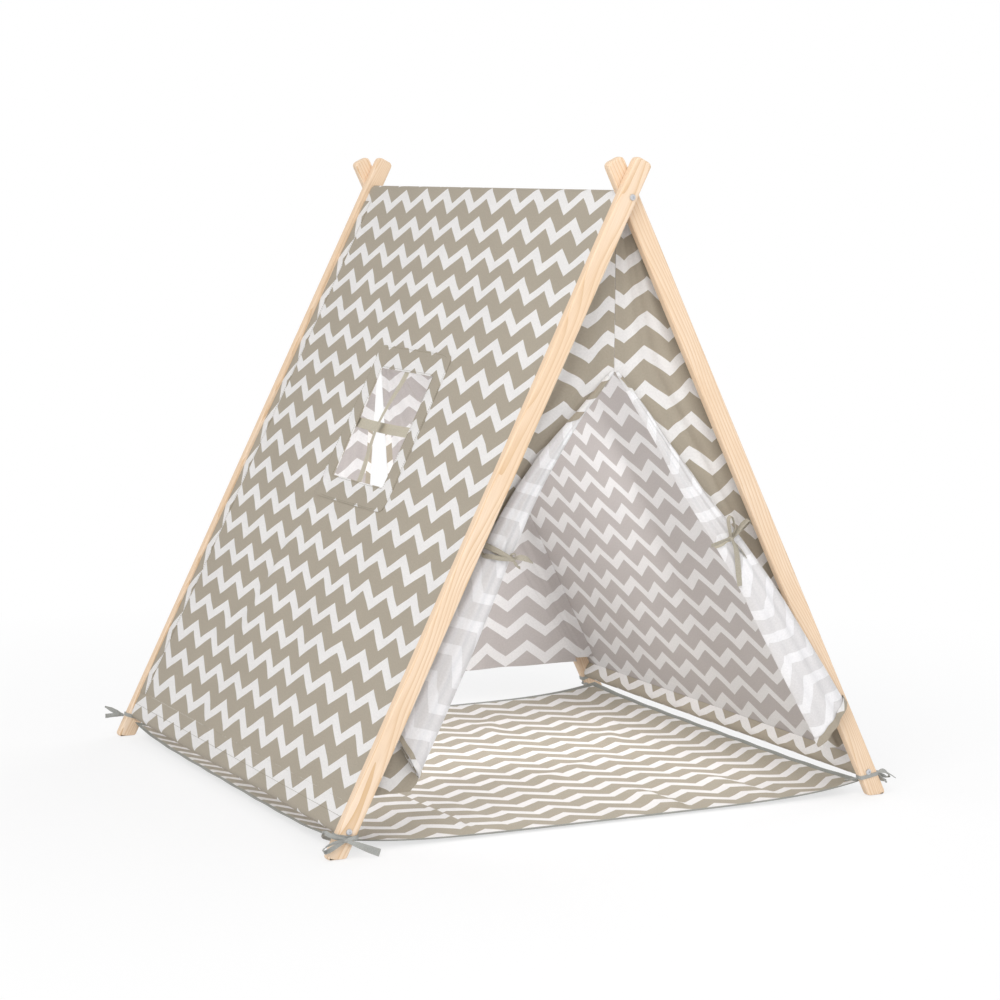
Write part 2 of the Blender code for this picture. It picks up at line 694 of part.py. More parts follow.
def gable(name, side, end, fold, carrier):
    """Half of a gable wall: sewn to the roof, to its twin above the door, and free along the door."""
    top = RIDGE_HEIGHT - RIDGE_SLEEVE_RADIUS - CLOTH_THICKNESS - SEAM_GAP
    bottom = roof_point(side, ROD_LINE_LENGTH - SLEEVE_HEIGHT, ROOF_OUTER_OFFSET).z + SEAM_GAP
    rows_below = 8
    rows_above = 4
    rows = rows_below + rows_above

    def position(s, t):
        row = t * rows
        if row <= rows_below:
            height = mix(bottom, DOOR_APEX_HEIGHT, row / rows_below)
        else:
            height = mix(DOOR_APEX_HEIGHT, top, (row - rows_below) / rows_above)
        inner = SEAM_GAP / 2 + fold(min(height, DOOR_APEX_HEIGHT))
        outer = roof_half_width(height) - SEAM_GAP
        bow = math.sin(math.pi * s) * math.sin(2 * math.pi * GABLE_FOLD_COUNT * s)
        y = GABLE_PLANE + GABLE_FOLD_DEPTH * bow
        return Vector((side * mix(outer, inner, s), end * y, height))

    item = cloth(name, 8, rows, position, CLOTH_THICKNESS)
    return place(item, "printed_cotton", carrier)


def rear_slit(height):
    """Half the gap between the rear flaps at a height."""
    if height > REAR_SLIT_MIDDLE_HEIGHT:
        share = (DOOR_APEX_HEIGHT - height) / (DOOR_APEX_HEIGHT - REAR_SLIT_MIDDLE_HEIGHT)
        return mix(SEAM_GAP, REAR_SLIT_MIDDLE, share)
    share = (REAR_SLIT_MIDDLE_HEIGHT - height) / (REAR_SLIT_MIDDLE_HEIGHT - COVER_BOTTOM)
    return mix(REAR_SLIT_MIDDLE, REAR_SLIT_BOTTOM, share)


def rear_flap(name, side):
    """A rear door flap, hanging from its fold line in soft upright folds."""
    top = DOOR_APEX_HEIGHT - REAR_SLIT_TOP

    def position(s, t):
        height = mix(COVER_BOTTOM, top, t)
        hinge = rear_fold(height) - SEAM_GAP - SEAM_GAP / 4
        free = rear_slit(height)
        fullness = math.sin(math.pi * s / 2) * (1 - t * t)
        wave = REAR_FOLD_DEPTH * fullness * math.sin(2 * math.pi * REAR_FOLD_COUNT * s)
        return Vector((side * mix(hinge, free, s), GABLE_PLANE + wave, height))

    item = cloth(name, 16, 9, position, CLOTH_THICKNESS)
    return place(item, "printed_cotton", name + "_hinge")


def set_off(outline, margin):
    """A closed outline, listed against the clock, moved outward by a margin."""
    moved = []
    for k, here in enumerate(outline):
        before = (here - outline[k - 1]).normalized()
        after = (outline[(k + 1) % len(outline)] - here).normalized()
        normal = (Vector((before.y, -before.x)) + Vector((after.y, -after.x))).normalized()
        moved.append(here + normal * (margin / max(0.6, normal.dot(Vector((after.y, -after.x))))))
    return moved


class Roll:
    """The route and sections of a front flap folded back into a flat roll.

    The route starts at the door's apex, bends at the tie and ends slantwise near the floor.
    """

    def __init__(self, side, tie, end, end_width, slant, width_shares, bulge=0, forward=0):
        self.side = side
        self.apex = Vector((side * ROLL_TOP_WIDTH / 2, DOOR_APEX_HEIGHT))
        self.tie = self.inset_point(*tie)
        self.end = self.inset_point(*end)
        self.end_width = end_width
        self.slant = slant
        self.width_shares = width_shares
        self.bulge = bulge
        self.forward = forward
        upper = (self.tie - self.apex).length
        self.length = upper + (self.end - self.tie).length
        self.tie_share = upper / self.length

    def inset_point(self, inset, height):
        """The point of the upright plane at an inset from the roof and a height."""
        return Vector((self.side * (roof_half_width(height) - inset), height))

    def centre(self, share):
        """The middle of the roll in the upright plane, at a share of its length."""
        if share > self.tie_share:
            return self.tie.lerp(self.end, (share - self.tie_share) / (1 - self.tie_share))
        local = share / self.tie_share
        sideways = self.side * self.bulge * math.sin(math.pi * local)
        return self.apex.lerp(self.tie, local) + Vector((sideways, 0))

    def half_door(self, height):
        """Half the doorway's width at a height, where the gable's edge meets this roll."""
        if height < self.end.y:
            share = (self.end.y - height) / (self.end.y - COVER_BOTTOM)
            return mix(abs(self.end.x), door_foot(), share)
        if height < self.tie.y:
            return abs(mix(self.end.x, self.tie.x, (height - self.end.y) / (self.tie.y - self.end.y)))
        local = (self.apex.y - height) / (self.apex.y - self.tie.y)
        return mix(0, abs(self.tie.x), local) + self.bulge * math.sin(math.pi * local)

    def back(self, share):
        """The depth of the roll's rear face: against the gable, then forward of the slat where asked."""
        seat = min(1, share / ROLL_SEAT_SHARE)
        clear = GABLE_FOLD_DEPTH + TIE_THICKNESS + TIE_GAP
        step = (share - ROLL_FORWARD_START_SHARE) / (ROLL_FORWARD_END_SHARE - ROLL_FORWARD_START_SHARE)
        step = min(1, max(0, step))
        step = step * step * (3 - 2 * step)
        return GABLE_PLANE + CLOTH_THICKNESS / 2 + GAP + clear * seat + self.forward * step

    def directions(self, share):
        """The directions along the roll and outward across it, in the upright plane."""
        ahead = self.centre(min(1, share + 0.02)) - self.centre(max(0, share - 0.02))
        ahead.normalize()
        return ahead, Vector((-self.side * ahead.y, self.side * ahead.x))

    def depth(self, share):
        """The roll's thickness at a share of its length."""
        return mix(ROLL_TOP_WIDTH / 2, ROLL_END_DEPTH, min(1, share / ROLL_TAPER_SHARE))

    def profile(self, share, steps):
        """Points round the roll as (reach outward, depth in front of the gable), outermost first."""
        half_width = self.end_width * read_shares(self.width_shares, share) / 2
        depth = self.depth(share)
        fold = ROLL_FOLD_DEPTH * min(1, 3 * share)
        points = []
        for k in range(steps):
            angle = 2 * math.pi * k / steps
            lift = math.sin(angle)
            swell = 1 - ROLL_BACK_SHARE if lift > 0 else ROLL_BACK_SHARE
            y = self.back(share) + depth * (ROLL_BACK_SHARE + swell * lift)
            if lift > 0:
                y += fold * lift * math.cos(math.pi * ROLL_FOLD_COUNT * math.cos(angle))
            points.append(Vector((half_width * math.cos(angle), y)))
        return points

    def section(self, share, margin=0, steps=20):
        """Points round the roll at a share of its length, set off from it by a margin."""
        ahead, outward = self.directions(share)
        slant = self.slant * max(0, share - self.tie_share) / (1 - self.tie_share)
        middle = self.centre(share)
        points = []
        for reach, y in set_off(self.profile(share, steps), margin):
            flat = middle + outward * reach - ahead * (slant * reach)
            points.append(Vector((flat.x, -y, flat.y)))
        return points

    def lean(self, share, span=0.05):
        """How far the roll's front face leans forward on its way down, as an angle."""
        above = share - span
        below = share + span
        forward = self.back(below) + self.depth(below) - self.back(above) - self.depth(above)
        return math.atan(forward / (self.centre(above).y - self.centre(below).y))


LEFT_ROLL = Roll(
    LEFT,
    (LEFT_ROLL_TIE_INSET, DOOR_APEX_HEIGHT - LEFT_ROLL_TIE_DROP),
    (LEFT_ROLL_END_INSET, LEFT_ROLL_END_HEIGHT),
    LEFT_ROLL_END_WIDTH,
    LEFT_ROLL_END_SLANT,
    LEFT_ROLL_WIDTH_SHARES,
    bulge=LEFT_ROLL_BULGE,
)
RIGHT_ROLL = Roll(
    RIGHT,
    (RIGHT_ROLL_TIE_INSET, DOOR_APEX_HEIGHT - RIGHT_ROLL_TIE_DROP),
    (RIGHT_ROLL_END_INSET, RIGHT_ROLL_END_HEIGHT),
    RIGHT_ROLL_END_WIDTH,
    RIGHT_ROLL_END_SLANT,
    RIGHT_ROLL_WIDTH_SHARES,
    forward=RIGHT_ROLL_FORWARD,
)


def loft(name, rings):
    """A closed solid through rings of equally many points, with flat ends."""

    def build(work):
        rows = [[work.verts.new(point) for point in ring] for ring in rings]
        count = len(rows[0])
        for row, following in zip(rows, rows[1:]):
            for k in range(count):
                near = (k + 1) % count
                work.faces.new((row[k], row[near], following[near], following[k]))
        work.faces.new(list(reversed(rows[0])))
        work.faces.new(rows[-1])
        bmesh.ops.recalc_face_normals(work, faces=work.faces)

    return solid_mesh(name, build)


def front_flap(name, roll, carrier):
    """A front door flap in its folded state."""
    stations = 20
    rings = [roll.section(k / stations) for k in range(stations + 1)]
    return place(loft(name, rings), "white_cotton", carrier, smooth_angle=1.2)


def ribbon_outline(path, thickness):
    """The outline of a ribbon seen edge on, along an open path of points in a plane."""
    left = []
    right = []
    for k, point in enumerate(path):
        before = Vector(path[max(0, k - 1)])
        after = Vector(path[min(len(path) - 1, k + 1)])
        ahead = (after - before).normalized()
        normal = Vector((-ahead.y, ahead.x)) * thickness / 2
        left.append(tuple(Vector(point) + normal))
        right.append(tuple(Vector(point) - normal))
    return left + right[::-1]


def loop_path(length, layer):
    """A ribbon's loop seen edge on: out from the knot and back, lifting away from what is behind."""
    path = []
    for k in range(9):
        share = k / 8
        along = length * math.sin(math.pi * share)
        rise = BOW_LOOP_SEAT * (2 * share - 1) + BOW_LOOP_DEPTH * share * math.sin(math.pi * share)
        path.append((along, layer + rise))
    return path


def tail_path(length, layer):
    """A ribbon's tail seen edge on: nearly straight, with a slight wave."""
    path = []
    for k in range(5):
        share = k / 4
        path.append((length * share, layer + RIBBON_LAYER * math.sin(2 * math.pi * share)))
    return path


def add_bow(band, knot, ribbons, side, facing, width, lean=0):
    """Joins a knot and its ribbons to a band; they fan out in an upright plane or a leaning one."""
    up = Vector((0, -facing * math.sin(lean), math.cos(lean)))
    out = Vector((0, facing * math.cos(lean), math.sin(lean)))

    def build(work):
        bmesh.ops.create_uvsphere(work, u_segments=8, v_segments=6, radius=KNOT_RADIUS)

    ball = solid_mesh(band.name + "_knot", build)
    ball.matrix_world = Matrix.Translation(knot)
    boolean(band, ball, "UNION")
    for k, (kind, angle, share) in enumerate(ribbons):
        turn = math.radians(angle)
        direction = Vector((side * math.cos(turn), 0, 0)) + up * math.sin(turn)
        layer = (k - (len(ribbons) - 1) / 2) * RIBBON_LAYER
        if kind == "loop":
            path = loop_path(BOW_LOOP_LENGTH * share, layer)
        else:
            path = tail_path(BOW_TAIL_LENGTH * share, layer)
        matrix = axes_matrix(direction, out, knot)
        label = band.name + "_ribbon_" + str(k)
        boolean(band, flat_piece(label, [ribbon_outline(path, TIE_THICKNESS)], width, matrix), "UNION")


def flap_tie(name, roll, ribbons, carrier):
    """The tie round a rolled flap, with its bow in front and a strap to the gable's outer seam."""
    half_share = TIE_WIDTH / 2 / roll.length
    margin = TIE_GAP + TIE_THICKNESS / 2
    count = 20

    def position(s, t):
        ring = roll.section(roll.tie_share + half_share * (2 * t - 1), margin, count)
        return ring[round(s * count) % count]

    band = cloth(name, count, 1, position, TIE_THICKNESS, closed=True)
    ring = roll.section(roll.tie_share, margin, count)
    knot = ring[count // 4] - Vector((0, KNOT_RADIUS - TIE_THICKNESS / 2 - TIE_GAP / 2, 0))
    add_bow(band, knot, ribbons, 1, FRONT, TIE_WIDTH, roll.lean(roll.tie_share))
    ahead, outward = roll.directions(roll.tie_share)
    start = ring[0]
    slope = math.tan(ROD_LINE_LEAN)
    room = roof_half_width(start.z) - abs(start.x) - TIE_WIDTH / 4
    reach = room / (abs(outward.x) + outward.y * slope)
    seam_y = -(GABLE_PLANE + GABLE_FOLD_DEPTH + CLOTH_THICKNESS / 2 + GAP + TIE_THICKNESS / 2)
    seam = Vector((start.x + outward.x * reach, seam_y, start.z + outward.y * reach))
    direction = seam - start
    width_axis = Vector((ahead.x, 0, ahead.y))
    outline = ribbon_outline([(0, 0), (direction.length, 0)], TIE_THICKNESS)
    matrix = axes_matrix(direction, width_axis.cross(direction), start)
    boolean(band, flat_piece(name + "_strap", [outline], TIE_WIDTH - 2 * TIE_GAP, matrix), "UNION")
    return place(band, "taupe_tape", carrier, smooth_angle=1.0)


def mat_lift(x, y):
    """How far the mat's underside is lifted off the floor."""
    across = min(1, abs(x) / MAT_HALF_WIDTH)
    depth = min(1, abs(y) / MAT_HALF_DEPTH)

    def rise(share, half):
        start = 1 - MAT_SLOPE_WIDTH / half
        step = max(0, (share - start) / (1 - start))
        return step * step

    side = rise(across, MAT_HALF_WIDTH)
    end = rise(depth, MAT_HALF_DEPTH)
    near_corner_side = depth ** 6
    near_corner_end = across ** 6
    side_height = mix(MAT_SIDE_LIFT, MAT_CORNER_LIFT, near_corner_side)
    end_height = mix(MAT_END_LIFT, MAT_CORNER_LIFT, near_corner_end)
    return max(side * side_height, end * end_height)


def mat_place(x_share, y_share, inset):
    """A point of the mat's underside at shares of its half sizes, with its corners drawn in."""
    x = x_share * (MAT_HALF_WIDTH - inset - MAT_CORNER_PULL * abs(y_share) ** 6)
    y = y_share * (MAT_HALF_DEPTH - inset)
    return Vector((x, y, mat_lift(x, y)))


def build_mat():
    """The floor mat and the binding round its edge."""

    def position(s, t):
        return mat_place(2 * s - 1, 2 * t - 1, BINDING_WIDTH + GAP)

    sheet = cloth("floor_mat", MAT_SEGMENTS, MAT_SEGMENTS, position, MAT_THICKNESS, offset=1)
    place(sheet, "printed_cotton", "frame_left")
    corners = [(-1, -1), (1, -1), (1, 1), (-1, 1)]

    def rim(s, t):
        step = round(s * 4 * MAT_SEGMENTS) % (4 * MAT_SEGMENTS)
        corner, part = divmod(step, MAT_SEGMENTS)
        following = corners[(corner + 1) % 4]
        x_share = mix(corners[corner][0], following[0], part / MAT_SEGMENTS)
        y_share = mix(corners[corner][1], following[1], part / MAT_SEGMENTS)
        return mat_place(x_share, y_share, BINDING_WIDTH * t)

    binding = cloth("mat_binding", 4 * MAT_SEGMENTS, 1, rim, BINDING_THICKNESS, offset=1, closed=True)
    place(binding, "grey_tape", "frame_left")


def mat_tie(name, side, end, ribbons, bow_in_front, carrier):
    """A tie round a slat's foot, with a strap to the mat's corner and a bow on the outside."""
    y = end * (OUTER_SLAT_CENTRE if side == end else INNER_SLAT_CENTRE)
    half_width = SLAT_WIDTH / 2 + TIE_GAP
    half_depth = SLAT_THICKNESS / 2 + TIE_GAP
    wall = TIE_THICKNESS
    frame = slat_matrix(side, y)
    x_axis = frame.col[0].to_3d()
    up_axis = frame.col[1].to_3d()
    along = (FOOT_BAND_HEIGHT - RIDGE_HEIGHT - RIDGE_BOLT_OFFSET * math.sin(SLAT_LEAN)) / math.cos(SLAT_LEAN)
    middle = frame @ Vector((slat_across(side, RIDGE_BOLT_OFFSET), along, 0))
    matrix = axes_matrix(x_axis, up_axis.cross(x_axis), middle)
    hollow = rectangle(-half_width, -half_depth, half_width, half_depth, SLAT_EDGE_RADIUS)
    skin = rectangle(
        -half_width - wall, -half_depth - wall, half_width + wall, half_depth + wall, SLAT_EDGE_RADIUS + wall
    )
    band = flat_piece(name, [skin, hollow], FOOT_BAND_WIDTH, matrix)
    knot_clear = KNOT_RADIUS - TIE_GAP / 2
    if bow_in_front:
        knot = middle + Vector((0, end * (half_depth + knot_clear), 0))
        add_bow(band, knot, ribbons, 1, end, TIE_WIDTH)
    else:
        knot = middle + x_axis * (side * (half_width + knot_clear))
        add_bow(band, knot, ribbons, side, end, TIE_WIDTH)
    strap_x = side * (MAT_HALF_WIDTH - MAT_CORNER_PULL - FOOT_BAND_WIDTH)
    strap_z = MAT_CORNER_LIFT + BINDING_THICKNESS + GAP + wall / 2
    ends = sorted((y - end * (half_depth + wall / 2), end * (MAT_HALF_DEPTH - STRAP_LAP)))
    outline = rectangle(-FOOT_BAND_WIDTH / 2, ends[0], FOOT_BAND_WIDTH / 2, ends[1])
    strap_matrix = axes_matrix((1, 0, 0), (0, 1, 0), (strap_x, 0, strap_z))
    boolean(band, flat_piece(name + "_strap", [outline], wall, strap_matrix), "UNION")
    return place(band, "grey_tape", carrier, smooth_angle=1.0)


def build_cover():
    """Every sewn piece above the floor."""
    ridge_sleeve()
    rolls = {LEFT: LEFT_ROLL, RIGHT: RIGHT_ROLL}
    for name, side in (("left", LEFT), ("right", RIGHT)):
        carrier = "frame_" + name
        roof_panel("roof_panel_" + name, side, carrier)
        base_sleeve("base_sleeve_" + name, side, carrier)
        edge_band("rear_edge_band_" + name, side, carrier)
        gable("front_gable_" + name, side, FRONT, rolls[side].half_door, carrier)
        gable("rear_gable_" + name, side, REAR, rear_fold, carrier)
        rear_flap("rear_flap_" + name, side)
    build_window()
    front_flap("front_flap_left", LEFT_ROLL, "frame_left")
    front_flap("front_flap_right", RIGHT_ROLL, "frame_right")
    flap_tie("flap_tie_left", LEFT_ROLL, LEFT_FLAP_RIBBON_SHARES, "frame_left")
    flap_tie("flap_tie_right", RIGHT_ROLL, RIGHT_FLAP_RIBBON_SHARES, "frame_right")


def build_ties():
    """The four ties that hold the mat's corners to the feet."""
    mat_tie("mat_tie_front_left", LEFT, FRONT, FRONT_LEFT_FOOT_RIBBON_SHARES, True, "frame_left")
    mat_tie("mat_tie_front_right", RIGHT, FRONT, FRONT_RIGHT_FOOT_RIBBON_SHARES, False, "frame_right")
    mat_tie("mat_tie_rear_left", LEFT, REAR, REAR_FOOT_RIBBON_SHARES, False, "frame_left")
    mat_tie("mat_tie_rear_right", RIGHT, REAR, REAR_FOOT_RIBBON_SHARES, False, "frame_right")


pivot("frame_left", (0, 0, RIDGE_HEIGHT))
pivot("frame_right", (0, 0, RIDGE_HEIGHT), "frame_left")
pivot("rear_flap_left_hinge", (0, GABLE_PLANE, DOOR_APEX_HEIGHT), "frame_left")
pivot("rear_flap_right_hinge", (0, GABLE_PLANE, DOOR_APEX_HEIGHT), "frame_right")
build_frame()
build_cover()
build_mat()
build_ties()
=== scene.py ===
"""Looks of an A-frame play tent for children: pine slats, a printed cotton cover and a floor mat.

Metres, +Z up, the doorway faces -Y and the window is in the left slope (-X).
"""
import math

import bpy
import numpy as np
from mathutils import Matrix, Vector


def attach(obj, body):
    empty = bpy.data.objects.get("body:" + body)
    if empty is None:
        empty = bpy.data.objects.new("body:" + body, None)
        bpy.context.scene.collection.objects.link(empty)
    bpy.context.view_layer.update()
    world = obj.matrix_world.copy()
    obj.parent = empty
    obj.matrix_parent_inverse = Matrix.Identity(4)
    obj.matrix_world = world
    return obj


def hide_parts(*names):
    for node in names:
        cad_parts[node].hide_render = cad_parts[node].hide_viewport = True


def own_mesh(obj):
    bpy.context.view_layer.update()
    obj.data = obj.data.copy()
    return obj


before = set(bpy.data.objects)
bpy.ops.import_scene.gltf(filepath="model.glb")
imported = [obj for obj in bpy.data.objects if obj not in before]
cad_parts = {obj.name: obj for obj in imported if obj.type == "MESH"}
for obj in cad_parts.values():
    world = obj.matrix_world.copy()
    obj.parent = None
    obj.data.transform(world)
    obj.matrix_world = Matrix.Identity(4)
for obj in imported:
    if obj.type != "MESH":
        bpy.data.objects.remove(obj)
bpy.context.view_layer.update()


# The camera stands about five metres off, level with the ridge, and looks at the doorway from
# the window side.
camera_place = Vector((-2.378, -4.826, 1.201))
camera_yaw, camera_pitch, camera_roll = (math.radians(a) for a in (26.49, 6.27, 0.45))
focal_length = 96.28
sensor_width = 36.0
lens_shift = (0.0025, -0.0327)

level_part = math.cos(camera_pitch)
yaw_sine, yaw_cosine = math.sin(camera_yaw), math.cos(camera_yaw)
ahead = Vector((yaw_sine * level_part, yaw_cosine * level_part, -math.sin(camera_pitch)))
level = Vector((yaw_cosine, -yaw_sine, 0))
across = level * math.cos(camera_roll) + level.cross(ahead) * math.sin(camera_roll)
upward = across.cross(ahead)
lens = bpy.data.cameras.new("camera")
lens.lens = focal_length
lens.sensor_width = sensor_width
lens.shift_x, lens.shift_y = lens_shift
camera = bpy.data.objects.new("camera", lens)
camera_turn = Matrix((across, upward, -ahead)).transposed().to_4x4()
camera.matrix_world = Matrix.Translation(camera_place) @ camera_turn
bpy.context.scene.collection.objects.link(camera)
bpy.context.scene.camera = camera
bpy.context.scene.view_settings.view_transform = "Standard"


# The studio: a white floor that takes a faint shadow, white surroundings, three large soft lamps
# round the tent, and three soft panels hung inside it that light its lining.
floor_drop = 0.0008
floor_half = 14.0
surrounding_light = 0.60


def colour(code):
    """The linear colour of an sRGB hex value: the standard curve, undone channel by channel."""
    levels = [int(code[k : k + 2], 16) / 255 for k in (1, 3, 5)]
    return [c / 12.92 if c <= 0.04045 else ((c + 0.055) / 1.055) ** 2.4 for c in levels] + [1]


def add(tree, kind, inputs=None, **settings):
    """Adds a node with its settings. An input takes a value, an output, or a node, which stands for
    its first output."""
    made = tree.nodes.new("ShaderNode" + kind)
    for name, value in settings.items():
        setattr(made, name, value)
    for socket, value in (inputs or {}).items():
        if isinstance(value, bpy.types.Node):
            value = value.outputs[0]
        if isinstance(value, bpy.types.NodeSocket):
            tree.links.new(value, made.inputs[socket])
        else:
            made.inputs[socket].default_value = value
    return made


def new_finish(name):
    """An empty material and its node tree."""
    made = bpy.data.materials.new(name)
    made.use_nodes = True
    made.node_tree.nodes.clear()
    return made, made.node_tree


def looked_at(tree):
    """One for a ray that comes from the camera, off a glossy surface or through a clear one."""
    path = add(tree, "LightPath")
    rays = {0: path.outputs["Is Camera Ray"], 1: path.outputs["Is Glossy Ray"]}
    seen = add(tree, "Math", rays, operation="MAXIMUM")
    return add(tree, "Math", {0: seen, 1: path.outputs["Is Transmission Ray"]}, operation="MAXIMUM")


def studio_white(name):
    """Matt white paper that shows near white to the camera and still takes a soft shadow: its own
    glow takes over with the distance from the tent."""
    made, tree = new_finish(name)
    place = add(tree, "TexCoord").outputs["Object"]
    away = add(tree, "VectorMath", {0: place}, operation="LENGTH").outputs["Value"]
    fade = add(tree, "MapRange", {0: away, 1: 0.8, 2: 2.2, 3: 0.70, 4: 1.0})
    share = add(tree, "Math", {0: looked_at(tree), 1: fade}, operation="MULTIPLY")
    paper = add(tree, "BsdfDiffuse", {"Color": colour("#F4F4F4")})
    glow = add(tree, "Emission", {"Color": (1, 1, 1, 1), "Strength": 1.0})
    both = add(tree, "MixShader", {0: share, 1: paper, 2: glow})
    add(tree, "OutputMaterial", {"Surface": both})
    return made


floor_mesh = bpy.data.meshes.new("studio_floor")
floor_signs = ((-1, -1), (1, -1), (1, 1), (-1, 1))
floor_corners = [(x * floor_half, y * floor_half, -floor_drop) for x, y in floor_signs]
floor_mesh.from_pydata(floor_corners, [], [(0, 1, 2, 3)])
floor_mesh.materials.append(studio_white("studio_paper"))
studio_floor = bpy.data.objects.new("studio_floor", floor_mesh)
bpy.context.scene.collection.objects.link(studio_floor)

world = bpy.data.worlds.new("studio")
world.use_nodes = True
sky = world.node_tree
sky.nodes.clear()
sky_light = add(sky, "Background", {"Color": colour("#FBFCFF"), "Strength": surrounding_light})
sky_white = add(sky, "Background", {"Color": (1, 1, 1, 1), "Strength": 1.0})
sky_both = add(sky, "MixShader", {0: looked_at(sky), 1: sky_light, 2: sky_white})
add(sky, "OutputWorld", {"Surface": sky_both})
bpy.context.scene.world = world


def soft_lamp(name, place, target, width, power, tint):
    """A square area lamp that faces a point and isn't seen itself."""
    light = bpy.data.lights.new(name, "AREA")
    light.size = width
    light.energy = power
    light.color = tint
    lamp = bpy.data.objects.new(name, light)
    lamp.visible_camera = False
    lamp.visible_glossy = False
    facing = (Vector(target) - Vector(place)).to_track_quat("-Z", "Y").to_matrix().to_4x4()
    lamp.matrix_world = Matrix.Translation(place) @ facing
    bpy.context.scene.collection.objects.link(lamp)


lining_light = (0.985, 0.985, 1.0)
soft_lamp("key_lamp", (-3.6, -3.7, 4.3), (0, 0, 0.5), 4.2, 224, (1.0, 0.985, 0.965))
soft_lamp("front_lamp", (1.2, -5.4, 1.6), (0, 0, 0.45), 3.4, 36, (1.0, 0.99, 0.98))
soft_lamp("far_lamp", (4.6, 2.4, 3.4), (0, 0, 0.5), 3.4, 110, (0.99, 0.99, 1.0))
soft_lamp("inner_panel_left", (-0.317, 0, 0.49), (0.573, 0, 0.046), 0.84, 2.9, lining_light)
soft_lamp("inner_panel_right", (0.317, 0, 0.49), (-0.573, 0, 0.046), 0.84, 2.9, lining_light)
soft_lamp("inner_panel_rear", (0, -0.10, 0.38), (0, 0.53, 0.35), 0.46, 1.1, lining_light)


# Slats and dowels. The real ones are planed, untreated pine: pale early wood with narrow, darker
# growth lines that run along each piece, slightly open fibres, and corners sanded round.
ridge_height = 1.160
base_height = 0.048
base_half_spread = 0.554
ridge_bolt_offset = 0.0068
rod_line_length = math.hypot(base_half_spread, ridge_height - base_height)
lean = math.atan2(base_half_spread, ridge_height - base_height)
slat_lean = lean - math.asin(ridge_bolt_offset / rod_line_length)
ring_spacing = 0.0032
ring_bend = 0.048
pith_offset = (0.026, 0.040, 0)
slat_middle = 0.5725
fibre_width = 0.0016


def pine(name, tilt, turn=0.0):
    """Planed pine. Growth rings are circles about a pith line beside the piece, whose distance is
    bent by slow noise; a narrow dark line closes each ring. Front and rear slats are each other's
    mirror image. Fibres are noise drawn out lengthwise, wider than the real 0.04 mm ones to show."""
    made, tree = new_finish(name)
    parts = add(tree, "SeparateXYZ", {0: add(tree, "TexCoord").outputs["Object"]})
    deep = add(tree, "Math", {0: parts.outputs[1]}, operation="ABSOLUTE")
    deep = add(tree, "Math", {0: deep, 1: slat_middle}, operation="SUBTRACT")
    high = add(tree, "Math", {0: parts.outputs[2], 1: ridge_height}, operation="SUBTRACT")
    centred = add(tree, "CombineXYZ", {0: parts, 1: deep, 2: high})
    along = add(tree, "Mapping", {"Vector": centred, "Rotation": (turn, tilt, 0)}, vector_type="POINT")
    slow = add(tree, "Mapping", {"Vector": along, "Scale": (6, 6, 1.3)}, vector_type="POINT")
    bend = add(tree, "TexNoise", {"Vector": slow, "Scale": 1.6, "Detail": 1.5, "Roughness": 0.45})
    shift = add(tree, "VectorMath", {0: bend.outputs["Color"], 1: (0.5, 0.5, 0.5)}, operation="SUBTRACT")
    shift = add(tree, "VectorMath", {0: shift, 1: (ring_bend, ring_bend, 0)}, operation="MULTIPLY")
    pith = add(tree, "VectorMath", {0: along, 1: pith_offset}, operation="ADD")
    bent = add(tree, "VectorMath", {0: pith, 1: shift}, operation="ADD")
    flat = add(tree, "VectorMath", {0: bent, 1: (1, 1, 0)}, operation="MULTIPLY")
    radius = add(tree, "VectorMath", {0: flat}, operation="LENGTH").outputs["Value"]
    ring = add(tree, "Math", {0: radius, 1: 1 / ring_spacing}, operation="MULTIPLY")
    ring = add(tree, "Math", {0: ring}, operation="FRACT")
    late = add(tree, "Math", {0: ring, 1: 3.0}, operation="POWER")
    streak = add(tree, "Mapping", {"Vector": along, "Scale": (1, 1, 0.022)}, vector_type="POINT")
    thin = {"Vector": streak, "Scale": 1 / fibre_width, "Detail": 2.0, "Roughness": 0.6}
    fibre = add(tree, "TexNoise", thin)
    board = add(tree, "TexNoise", {"Vector": slow, "Scale": 3.0, "Detail": 1.0})
    growth = {0: late, 6: colour("#F2DDC6"), 7: colour("#D9B68C")}
    wood = add(tree, "Mix", growth, data_type="RGBA").outputs[2]
    tone = add(tree, "MapRange", {0: board, 1: 0.3, 2: 0.7, 3: 0.0, 4: 0.45})
    wood = add(tree, "Mix", {0: tone, 6: wood, 7: colour("#E6C7A4")}, data_type="RGBA").outputs[2]
    fine = add(tree, "MapRange", {0: fibre, 1: 0.35, 2: 0.75, 3: 0.0, 4: 0.38})
    wood = add(tree, "Mix", {0: fine, 6: wood, 7: colour("#D6B28A")}, data_type="RGBA").outputs[2]
    relief = add(tree, "Math", {0: late, 1: fibre}, operation="ADD")
    bump = add(tree, "Bump", {"Strength": 0.25, "Distance": 0.0004, "Height": relief})
    rough = add(tree, "MapRange", {0: fibre, 3: 0.50, 4: 0.66})
    surface = {"Base Color": wood, "Roughness": rough, "Normal": bump, "IOR": 1.5, "Specular IOR Level": 0.35}
    add(tree, "OutputMaterial", {"Surface": add(tree, "BsdfPrincipled", surface)})
    return made


def give_finish(material, *names):
    """Gives a finish to CAD nodes that keep their own shape."""
    for name in names:
        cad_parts[name].data.materials.clear()
        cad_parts[name].data.materials.append(material)


give_finish(pine("pine_left_slats", -slat_lean), "slat_front_left", "slat_rear_left")
give_finish(pine("pine_right_slats", slat_lean), "slat_front_right", "slat_rear_right")
give_finish(pine("pine_dowels", 0.0, math.pi / 2), "ridge_rod", "base_rod_left", "base_rod_right")


